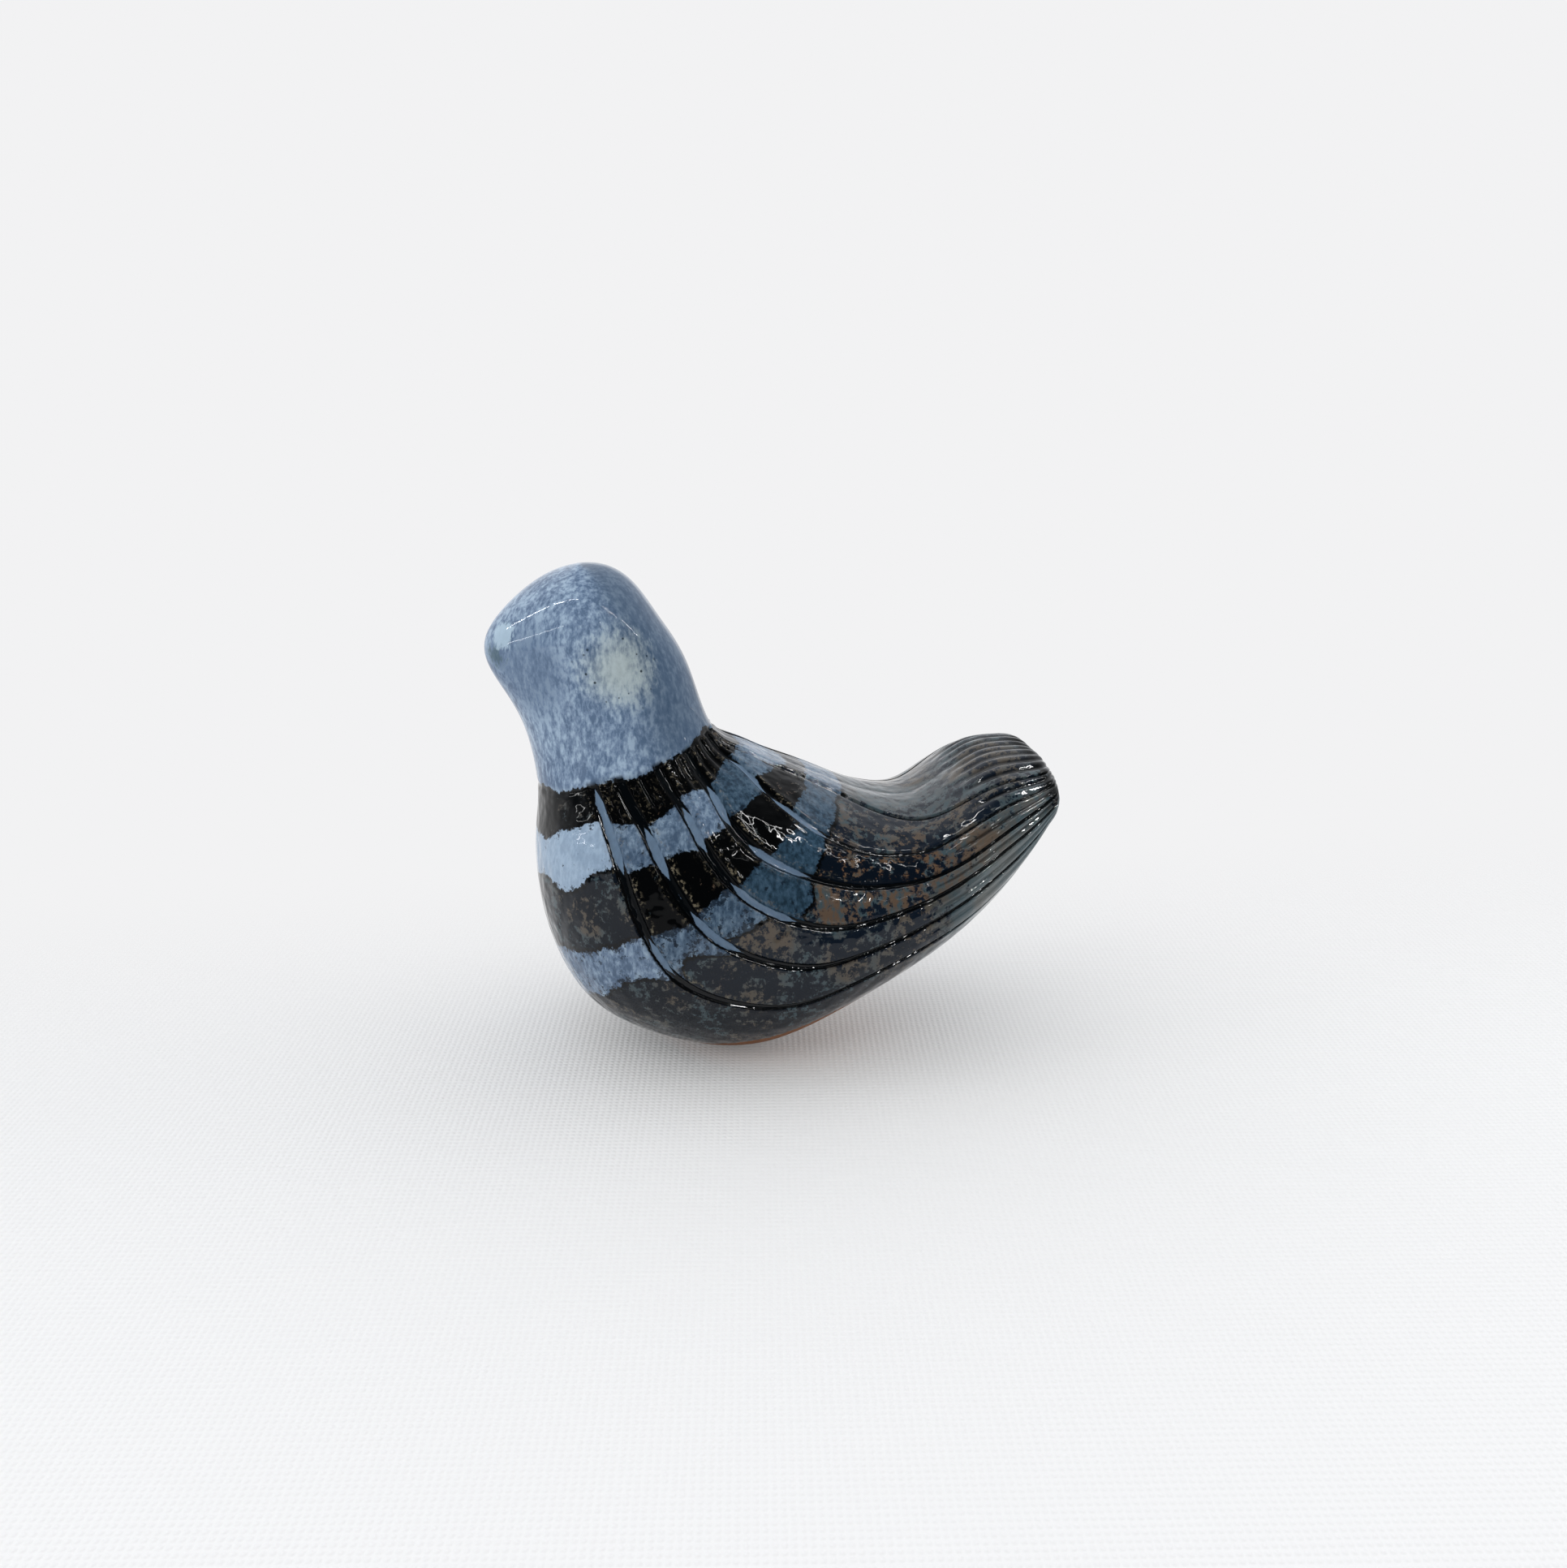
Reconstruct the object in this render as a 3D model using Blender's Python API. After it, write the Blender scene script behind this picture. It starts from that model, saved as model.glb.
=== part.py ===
"""
Bird whistle: a small bird of glazed stoneware, modelled by hand and fired as one piece.

The bird stands on a flat foot and faces -X. Its neck rises to a smooth head, and its tail rises
towards +X and is the mouthpiece. The clay is hollow. A flat windway runs down through the tail to a
window under the rump, where the air stream meets the edge of the body and sounds the chamber.

The body is one loft. Its sections are rings that run from the belly line to the back line, and they
turn from level at the head to upright at the tail. The carved feather lines follow the rings' angle.

Lengths are in millimetres up to the last step, which makes them metres. The origin is the centre of
the foot, on the table, and +Z is up.
"""

import math

import bmesh
import bpy
import numpy as np
from mathutils import Matrix, Vector

MILLIMETRE = 0.001

# Rings of the loft: name, belly line x and z, back line x and z, half width, squareness
RINGS = (
    ("head", -21.0, 48.0, -5.5, 50.0, 10.0, 2.0),
    ("throat", -21.5, 40.5, -2.5, 44.5, 10.0, 2.0),
    ("collar", -20.5, 31.5, 0.0, 37.5, 11.5, 2.0),
    ("breast", -21.0, 25.0, 3.5, 35.0, 14.5, 2.1),
    ("crop", -20.5, 16.0, 6.5, 33.5, 17.0, 2.2),
    ("belly_front", -17.0, 7.0, 10.0, 32.0, 18.5, 2.3),
    ("belly", -10.0, 1.5, 13.5, 30.5, 19.0, 2.3),
    ("foot", 1.0, -1.2, 17.0, 29.0, 19.0, 2.3),
    ("vent", 11.0, 2.0, 20.5, 28.0, 18.5, 2.3),
    ("rump", 20.5, 7.0, 24.5, 28.0, 17.0, 2.3),
    ("tail_root", 28.0, 12.0, 28.5, 30.5, 16.0, 2.3),
    ("tail_mid", 34.5, 18.0, 32.5, 33.0, 14.0, 2.3),
    ("tail_end", 39.0, 24.5, 37.0, 33.5, 11.5, 2.3),
)
COLLAR = 2
LAST = len(RINGS) - 1

# Top of the head, end of the tail, and the swelling that makes the beak
CROWN = (-14.5, 56.5)
TAIL_TIP = (40.5, 30.5)
TAIL_TIP_SQUARENESS = 2.8
BEAK = (-23.5, 0.0, 48.0)
BEAK_REACH = 5.0
BEAK_SPREAD = (6.0, 4.5, 4.5)

# Carved lines: angle from the belly line, in degrees, at every second ring from the collar to the tail
CARVED_LINES = (
    (68, 75, 70, 74, 66, 52),
    (85, 92, 90, 91, 84, 67),
    (110, 110, 107, 107, 100, 82),
    (132, 124, 123, 122, 112, 97),
    (158, 148, 140, 136, 129, 114),
    (168, 168, 166, 158, 146, 131),
)
LINE_HALF_WIDTH_NECK = 0.55
LINE_HALF_WIDTH_TAIL = 0.25
LINE_DEPTH_NECK = 0.55
LINE_DEPTH_TAIL = 0.3

# Places along the rings: where the lines start below the collar, and where they end on the tail
LINE_START = 0.12
LINE_END = 0.4

# Short pleats pressed below the collar, and fine lines that run out over the tail
PLEAT_DEPTH = 0.35
PLEAT_PLACES = (2.6, 3.3)
TAIL_LINE_DEPTH = 0.3
TAIL_LINE_PLACES = (9.0, 10.5)

# Columns and rows of the mesh, where no carved line sets them
BELLY_COLUMNS = 5
BACK_LINES = 3
HEAD_ROWS = 4
BODY_ROWS = 3
CROWN_ROWS = 8
TIP_ROWS = 6

# Hollow inside
WALL = 4.5
CHAMBER_FRONT = 2.9
CHAMBER_REAR = 8.5
CHAMBER_FRONT_CAP = 4.0
CHAMBER_REAR_CAP = 3.6
CHAMBER_COLUMNS = 20
CHAMBER_ROWS = 11
CHAMBER_END_ROWS = 6

# Windway through the tail, and the window under the rump
WINDWAY_WIDTH = 8.0
WINDWAY_HEIGHT = 1.8
MOUTH_SHARE = 0.3
WINDOW_EDGE = 8.55
CUT_UP = 6.2
RAMP_ANGLE = 50.0
THROAT_RISE = 2.4
CUT_CLEARANCE = 1.0

# Glaze colour
SLATE_BLUE = (0.095, 0.135, 0.18, 1.0)


def clear_scene():
    """Remove every object of the scene."""
    for item in list(bpy.data.objects):
        bpy.data.objects.remove(item, do_unlink=True)


class Spline:
    """Natural cubic spline through values at 0, 1, 2 and so on."""

    def __init__(self, values):
        self.points = np.asarray(values, dtype=float)
        count = len(self.points)
        system = np.eye(count)
        right = np.zeros_like(self.points)
        for i in range(1, count - 1):
            system[i, i - 1:i + 2] = (1, 4, 1)
            right[i] = 6 * (self.points[i + 1] - 2 * self.points[i] + self.points[i - 1])
        self.bend = np.linalg.solve(system, right)

    def at(self, place):
        """Value at one place."""
        i = min(max(int(place), 0), len(self.points) - 2)
        after = place - i
        before = 1 - after
        straight = before * self.points[i] + after * self.points[i + 1]
        curved = (before ** 3 - before) * self.bend[i] + (after ** 3 - after) * self.bend[i + 1]
        return straight + curved / 6

    def slope(self, place):
        """Change of the value for each whole step along, at one place."""
        step = 0.001
        last = len(self.points) - 1
        low, high = max(place - step, 0), min(place + step, last)
        return (self.at(high) - self.at(low)) / (high - low)


RING_SPLINE = Spline([ring[1:] for ring in RINGS])
LINE_SPLINES = [Spline(line) for line in CARVED_LINES]


def fade(at, start, end):
    """Smooth step from 0 at start to 1 at end."""
    share = min(max((at - start) / (end - start), 0.0), 1.0)
    return share * share * (3 - 2 * share)


def section(at):
    """Centre, half depth, half width and squareness of the ring at one place along the loft.

    Places from -1 to 0 close the head's dome, and places past the last ring close the tail.
    """
    inside = min(max(at, 0), LAST)
    values = RING_SPLINE.at(inside)
    if at == inside:
        return split(values)
    share = abs(at - inside)
    lean = share * math.pi / 2
    end, narrowing = (CROWN, 2.0) if at < 0 else (TAIL_TIP, TAIL_TIP_SQUARENESS)
    centre = split(values)[0]
    taper = RING_SPLINE.slope(inside) * (inside - at) / share * -1
    travel = np.linalg.norm(np.array(end) - centre) * math.pi / 2
    pace = travel / np.linalg.norm(split(taper)[0])
    values = values + taper * pace * share * (1 - share) ** 2
    half, half_width, squareness = split(values)[1:]
    centre = centre + (np.array(end) - centre) * math.sin(lean)
    inset = max(1 - math.sin(lean) ** narrowing, 0.0)
    return centre, half * math.cos(lean), half_width * inset ** (1 / narrowing), squareness


def split(values):
    """Centre, half depth, half width and squareness from one row of the rings' values."""
    belly, back = values[0:2], values[2:4]
    return (belly + back) / 2, (belly - back) / 2, values[4], values[5]


def on_ring(centre, half, half_width, squareness, angle):
    """Point of a ring at an angle in degrees, from 0 on the belly line to 180 on the back line."""
    cosine, sine = math.cos(math.radians(angle)), math.sin(math.radians(angle))
    reach = (abs(cosine) ** squareness + abs(sine) ** squareness) ** (-1 / squareness)
    x, z = centre + half * reach * cosine
    return Vector((x, -half_width * reach * sine, z))


def skin(at, angle):
    """Point of the smooth body before carving."""
    point = on_ring(*section(at), angle)
    away = [(point[i] - BEAK[i]) ** 2 / (2 * BEAK_SPREAD[i] ** 2) for i in range(3)]
    point.x -= BEAK_REACH * math.exp(-sum(away))
    return point


def outward(at, angle):
    """Unit normal of the smooth body."""
    step = 0.02
    along = skin(min(at + step, LAST + 1), angle) - skin(max(at - step, -1), angle)
    around = skin(at, angle + 1) - skin(at, angle - 1)
    normal = along.cross(around)
    if normal.length < 1e-9:
        return Vector((0, 0, 0))
    normal.normalize()
    centre = section(at)[0]
    if normal.dot(skin(at, angle) - Vector((centre[0], 0, centre[1]))) < 0:
        normal.negate()
    return normal


def line_angle(line, at):
    """Angle of a carved line at one place along the body."""
    return float(line.at((min(max(at, COLLAR), LAST) - COLLAR) / 2))


def columns(at):
    """Angle and carved depth of each column of the near half, from the belly line to the back line."""
    tail = fade(at, COLLAR, LAST)
    half_width = LINE_HALF_WIDTH_NECK + (LINE_HALF_WIDTH_TAIL - LINE_HALF_WIDTH_NECK) * tail
    depth = LINE_DEPTH_NECK + (LINE_DEPTH_TAIL - LINE_DEPTH_NECK) * tail
    carved = fade(at, COLLAR, COLLAR + LINE_START) * (1 - fade(at, LAST + LINE_END, LAST + 1))
    pleat = PLEAT_DEPTH * carved * (1 - fade(at, *PLEAT_PLACES))
    fine = TAIL_LINE_DEPTH * carved * fade(at, *TAIL_LINE_PLACES)
    angles, depths = [0.0], [0.0]
    for number, line in enumerate(LINE_SPLINES):
        middle = line_angle(line, at)
        place = min(max(at, COLLAR), LAST)
        rate = (skin(place, middle + 1) - skin(place, middle - 1)).length / 2
        edge = half_width / rate
        inner = [pleat, fine, pleat] if number else [0.0] * BELLY_COLUMNS
        add_strip(angles, depths, middle - edge, inner)
        angles += [middle - edge, middle, middle + edge]
        depths += [0.0, depth * carved, 0.0]
    add_strip(angles, depths, 180.0, [0.0, fine] * BACK_LINES)
    angles.append(180.0)
    depths.append(0.0)
    even = 1 - fade(at, COLLAR - 1, COLLAR)
    last = len(angles) - 1
    angles = [angle + (180.0 * i / last - angle) * even for i, angle in enumerate(angles)]
    return angles, depths


def add_strip(angles, depths, end, inner):
    """Spread the columns of one strip evenly between the last angle and the strip's end."""
    start = angles[-1]
    for number, depth in enumerate(inner, start=1):
        angles.append(start + (end - start) * number / (len(inner) + 1))
        depths.append(depth)


def body_places():
    """Places of the rings of the mesh, from the crown to the tip of the tail."""
    crown = [i / CROWN_ROWS - 1 for i in range(CROWN_ROWS)]
    head = [i / HEAD_ROWS for i in range(HEAD_ROWS * COLLAR)]
    neck = [COLLAR, COLLAR + LINE_START]
    feathers = [COLLAR + i / BODY_ROWS for i in range(1, BODY_ROWS * (LAST - COLLAR) + 1)]
    tip = [LAST + i / TIP_ROWS for i in range(1, TIP_ROWS + 1)]
    return crown + head + neck + feathers + tip


def wrap_sheet(rows):
    """Closed mesh from a flat grid, whose rows are wrapped into rings and whose seam is welded."""
    sheet = bmesh.new()
    bmesh.ops.create_grid(sheet, x_segments=len(rows[0]), y_segments=len(rows) - 1, size=1)
    sheet.verts.ensure_lookup_table()
    wide = len(rows[0]) + 1
    for number, vertex in enumerate(sheet.verts):
        row = rows[number // wide]
        vertex.co = row[number % wide % len(row)]
    bmesh.ops.remove_doubles(sheet, verts=sheet.verts, dist=0.002)
    bmesh.ops.recalc_face_normals(sheet, faces=sheet.faces)
    return sheet


def finish_mesh(name, shape):
    """Mesh in metres from a bmesh in millimetres."""
    bmesh.ops.scale(shape, vec=(MILLIMETRE,) * 3, verts=shape.verts)
    mesh = bpy.data.meshes.new(name)
    shape.to_mesh(mesh)
    shape.free()
    return mesh


def body_mesh():
    """The carved body, cut level at the foot."""
    rows = []
    for at in body_places():
        angles, depths = columns(at)
        near = list(zip(angles, depths))
        far = [(360 - angle, depth) for angle, depth in reversed(near[1:-1])]
        rows.append([skin(at, angle) - outward(at, angle) * depth for angle, depth in near + far])
    shape = wrap_sheet(rows)
    parts = list(shape.verts) + list(shape.edges) + list(shape.faces)
    cut = bmesh.ops.bisect_plane(shape, geom=parts, plane_co=(0, 0, 0), plane_no=(0, 0, 1), clear_inner=True)
    rim = [part for part in cut["geom_cut"] if isinstance(part, bmesh.types.BMEdge)]
    bmesh.ops.holes_fill(shape, edges=rim, sides=0)
    bmesh.ops.recalc_face_normals(shape, faces=shape.faces)
    return finish_mesh("whistle_body", shape)


def chamber_mesh():
    """The sounding chamber: the body's own form, smaller by the wall, with round ends."""
    ends = [i / CHAMBER_END_ROWS * math.pi / 2 for i in range(CHAMBER_END_ROWS, 0, -1)]
    length = CHAMBER_REAR - CHAMBER_FRONT
    middle = [CHAMBER_FRONT + length * i / CHAMBER_ROWS for i in range(CHAMBER_ROWS + 1)]
    places = [(CHAMBER_FRONT, -CHAMBER_FRONT_CAP, lean) for lean in ends]
    places += [(at, 0.0, 0.0) for at in middle]
    places += [(CHAMBER_REAR, CHAMBER_REAR_CAP, lean) for lean in reversed(ends)]
    rows = []
    for at, cap, lean in places:
        centre, half, half_width, squareness = section(at)
        ahead = section(at + 0.1)[0] - section(at - 0.1)[0]
        centre = centre + ahead / np.linalg.norm(ahead) * cap * math.sin(lean)
        depth = np.linalg.norm(half)
        half = half * (depth - WALL) / depth * math.cos(lean)
        half_width = (half_width - WALL) * math.cos(lean)
        angles = [360 * i / CHAMBER_COLUMNS for i in range(CHAMBER_COLUMNS)]
        rows.append([on_ring(centre, half, half_width, squareness, angle) for angle in angles])
    return finish_mesh("chamber", wrap_sheet(rows))


def windway_line():
    """The edge that the air meets, on the chamber's floor, and the direction from it to the mouth."""
    centre, half = section(WINDOW_EDGE)[:2]
    edge = centre + half * (1 - WALL / np.linalg.norm(half))
    centre, half = section(LAST)[:2]
    mouth = centre + half * (1 - 2 * MOUTH_SHARE)
    return edge, (mouth - edge) / np.linalg.norm(mouth - edge)


def windway_cutter():
    """Flat slot from the window out through the end of the tail."""
    edge, direction = windway_line()
    start = edge + direction * (CUT_UP - CUT_CLEARANCE)
    length = np.linalg.norm(np.array(TAIL_TIP) - start) + WALL
    middle = start + direction * length / 2
    slope = math.atan2(direction[1], direction[0])
    shape = bmesh.new()
    bmesh.ops.create_cube(shape, size=1)
    bmesh.ops.scale(shape, vec=(length, WINDWAY_WIDTH, WINDWAY_HEIGHT), verts=shape.verts)
    bmesh.ops.rotate(shape, matrix=Matrix.Rotation(-slope, 3, "Y"), verts=shape.verts)
    bmesh.ops.translate(shape, vec=(middle[0], 0, middle[1]), verts=shape.verts)
    return finish_mesh("windway", shape)


def window_cutter():
    """Opening from the chamber down to the outside, with a ramp that leaves a sharp edge for the air."""
    edge, direction = windway_line()
    end = edge + direction * CUT_UP
    top = end[1] + THROAT_RISE
    below = -CUT_CLEARANCE
    run = (edge[1] - below) / math.tan(math.radians(RAMP_ANGLE))
    outline = [(end[0], below), (end[0], top), (edge[0], top), (edge[0], edge[1]), (edge[0] - run, below)]
    curve = bpy.data.curves.new("window_outline", "CURVE")
    curve.dimensions = "2D"
    curve.fill_mode = "BOTH"
    curve.extrude = WINDWAY_WIDTH / 2 * MILLIMETRE
    line = curve.splines.new("POLY")
    line.points.add(len(outline) - 1)
    for point, (x, z) in zip(line.points, outline):
        point.co = (x * MILLIMETRE, z * MILLIMETRE, 0, 1)
    line.use_cyclic_u = True
    holder = bpy.data.objects.new("window_outline", curve)
    holder.rotation_euler = (math.radians(90), 0, 0)
    bpy.context.scene.collection.objects.link(holder)
    bpy.context.view_layer.update()
    mesh = bpy.data.meshes.new_from_object(holder.evaluated_get(bpy.context.evaluated_depsgraph_get()))
    mesh.transform(holder.matrix_world)
    bpy.data.objects.remove(holder, do_unlink=True)
    shape = bmesh.new()
    shape.from_mesh(mesh)
    bmesh.ops.remove_doubles(shape, verts=shape.verts, dist=1e-6)
    bmesh.ops.recalc_face_normals(shape, faces=shape.faces)
    shape.to_mesh(mesh)
    shape.free()
    return mesh


def glaze():
    """Glossy slate blue glaze over stoneware."""
    material = bpy.data.materials.new("glazed_stoneware")
    material.use_nodes = True
    shader = material.node_tree.nodes["Principled BSDF"]
    shader.inputs["Base Color"].default_value = SLATE_BLUE
    shader.inputs["Roughness"].default_value = 0.2
    shader.inputs["Metallic"].default_value = 0.0
    return material


def add_object(name, mesh, collection):
    """Object for a mesh, in a collection."""
    item = bpy.data.objects.new(name, mesh)
    collection.objects.link(item)
    return item


def add_cutter(body, name, mesh, collection):
    """Cutter object, and the Boolean that takes it out of the body."""
    cutter = add_object(name, mesh, collection)
    cutter.hide_render = True
    cutter.display_type = "WIRE"
    cut = body.modifiers.new(name, "BOOLEAN")
    cut.operation = "DIFFERENCE"
    cut.solver = "EXACT"
    cut.object = cutter


def build():
    """Build the whistle and its cutters."""
    clear_scene()
    parts = bpy.data.collections.new("bird_whistle")
    cutters = bpy.data.collections.new("cutters")
    for collection in (parts, cutters):
        bpy.context.scene.collection.children.link(collection)
    body = add_object("whistle_body", body_mesh(), parts)
    body.data.shade_smooth()
    body.data.set_sharp_from_angle(angle=math.radians(40))
    body.data.materials.append(glaze())
    add_cutter(body, "chamber_cut", chamber_mesh(), cutters)
    add_cutter(body, "window_cut", window_cutter(), cutters)
    add_cutter(body, "windway_cut", windway_cutter(), cutters)
    bpy.context.view_layer.update()


build()
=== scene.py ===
"""
Looks of the bird whistle: a small bird of glazed stoneware, modelled by hand and fired as one piece.

The piece here has the same loft as the part's source, wrapped with a finer mesh, and carries the
carving, the pleats under the collar and the glaze. It replaces the plain body of the frame. The
glaze has a mottled blue head, and bands of blue and near-black patches that step from strip to
strip between the carved lines. Towards the tail it turns to a dark metallic glaze. The foot, the
windway, the window and the chamber are bare clay.

Sizes are in millimetres until a mesh is finished, which makes them metres. Angles round the body
run from 0 on the belly line to 180 on the back line. Places along it are those of the rings.
"""

import logging
import math
from dataclasses import dataclass, field
from enum import Enum
from functools import partial
from typing import Any

import bmesh
import bpy
import numpy as np
from mathutils import Matrix, Vector

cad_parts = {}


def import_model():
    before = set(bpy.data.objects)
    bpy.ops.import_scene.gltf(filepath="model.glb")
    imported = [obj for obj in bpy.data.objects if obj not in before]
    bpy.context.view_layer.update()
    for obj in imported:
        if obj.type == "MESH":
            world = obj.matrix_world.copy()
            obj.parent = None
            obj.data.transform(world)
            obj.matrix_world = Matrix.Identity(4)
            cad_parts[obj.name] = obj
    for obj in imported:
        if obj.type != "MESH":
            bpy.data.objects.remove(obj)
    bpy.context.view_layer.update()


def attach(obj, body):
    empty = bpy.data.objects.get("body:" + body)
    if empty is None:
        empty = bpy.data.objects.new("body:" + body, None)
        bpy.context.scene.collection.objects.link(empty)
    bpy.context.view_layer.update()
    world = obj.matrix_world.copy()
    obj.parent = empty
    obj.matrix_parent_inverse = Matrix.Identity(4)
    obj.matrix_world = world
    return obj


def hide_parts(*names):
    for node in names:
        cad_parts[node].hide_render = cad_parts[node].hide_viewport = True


LOG = logging.getLogger("bird_whistle")
MILLIMETRE = 0.001

Pair = tuple[float, float]
Triple = tuple[float, float, float]
Rows = tuple[tuple[float, ...], ...]

# Inputs of a Mix node of colours: its share, the colour below and the colour on top
SHARE, BELOW, ON_TOP = 0, 6, 7
# Settings that nodes have in common
COLOURS = {"out": 2, "data_type": "RGBA"}
SMOOTH = {"interpolation_type": "SMOOTHSTEP"}
PRODUCT = {"operation": "MULTIPLY"}
ADDED = {"operation": "MULTIPLY_ADD"}


class Place(Enum):
    """Rings of the loft that the looks are set by."""

    CROWN = -1.0
    HEAD = 0.0
    COLLAR = 2.0
    TAIL_END = 12.0
    TAIL_TIP = 13.0


class Surface(Enum):
    """Material slots of the body's mesh."""

    GLAZE = 0
    CLAY = 1


def linear(code: str) -> tuple[float, float, float, float]:
    """Turn an sRGB hex colour into a linear one.

    Args:
        code: the colour as "#rrggbb".

    Returns:
        Red, green, blue and an alpha of 1.
    """
    shares = [int(code[i:i + 2], 16) / 255 for i in (1, 3, 5)]
    bent = [c / 12.92 if c <= 0.04045 else ((c + 0.055) / 1.055) ** 2.4 for c in shares]
    return bent[0], bent[1], bent[2], 1.0


def add_node(
    tree: bpy.types.NodeTree,
    kind: str,
    inputs: dict[Any, Any] | tuple[Any, ...] = (),
    stops: tuple[tuple[float, str], ...] = (),
    out: int | str = 0,
    **settings: Any,
) -> bpy.types.NodeSocket:
    """Add a node with its settings, its values and its links.

    Args:
        tree: node tree that gets the node.
        kind: Blender's name for the node, after "ShaderNode".
        inputs: value, hex colour or source socket of each input, in order or by name or number.
        stops: place and hex colour of each stop, on a colour ramp.
        out: name or number of the output that is wanted.
        settings: the node's own properties.

    Returns:
        The wanted output of the new node.
    """
    node = tree.nodes.new("ShaderNode" + kind)
    for name, value in settings.items():
        setattr(node, name, value)
    pairs = inputs.items() if isinstance(inputs, dict) else enumerate(inputs)
    for socket, value in pairs:
        if isinstance(value, bpy.types.NodeSocket):
            tree.links.new(value, node.inputs[socket])
        else:
            node.inputs[socket].default_value = linear(value) if isinstance(value, str) else value
    for number, (place, code) in enumerate(stops):
        elements = node.color_ramp.elements
        element = elements[number] if number < len(elements) else elements.new(place)
        element.position = place
        element.color = linear(code)
    return node.outputs[out]


def new_material(name: str) -> tuple[bpy.types.Material, bpy.types.NodeTree, bpy.types.Node]:
    """Make a material.

    Args:
        name: name of the material.

    Returns:
        The material, its node tree and its shader.
    """
    material = bpy.data.materials.new(name)
    material.use_nodes = True
    return material, material.node_tree, material.node_tree.nodes["Principled BSDF"]


def put_in_scene(name: str, data: Any) -> bpy.types.Object:
    """Put an object into the scene.

    Args:
        name: name of the object.
        data: its mesh, lamp or camera.

    Returns:
        The object.
    """
    thing = bpy.data.objects.new(name, data)
    bpy.context.scene.collection.objects.link(thing)
    return thing


def squared_reach(turn: np.ndarray, power: Any) -> np.ndarray:
    """Give a squared circle's reach at angles in radians. Power 2 is round, and more is squarer."""
    return (np.abs(np.cos(turn)) ** power + np.abs(np.sin(turn)) ** power) ** (-1 / power)


def smooth_step(value: np.ndarray, start: float, end: float) -> np.ndarray:
    """Rise smoothly from 0 at start to 1 at end."""
    share = np.clip((value - start) / (end - start), 0.0, 1.0)
    return share * share * (3 - 2 * share)


class Spline:
    """Natural cubic spline through rows of values at 0, 1, 2 and so on."""

    def __init__(self, values: Any) -> None:
        """Work out how each row bends.

        Args:
            values: one row of values for each whole place.
        """
        self.points = np.asarray(values, dtype=float)
        count = len(self.points)
        system = np.eye(count)
        right = np.zeros_like(self.points)
        for i in range(1, count - 1):
            system[i, i - 1:i + 2] = (1, 4, 1)
            right[i] = 6 * (self.points[i + 1] - 2 * self.points[i] + self.points[i - 1])
        self.bend = np.linalg.solve(system, right)

    def at(self, places: np.ndarray) -> np.ndarray:
        """Give the values at places along the spline.

        Args:
            places: the places, from 0 to the last row.

        Returns:
            One row of values for each place.
        """
        first = np.clip(places.astype(int), 0, len(self.points) - 2)
        after = (places - first)[:, None]
        before = 1 - after
        straight = before * self.points[first] + after * self.points[first + 1]
        curved = (before ** 3 - before) * self.bend[first] + (after ** 3 - after) * self.bend[first + 1]
        return straight + curved / 6


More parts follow.
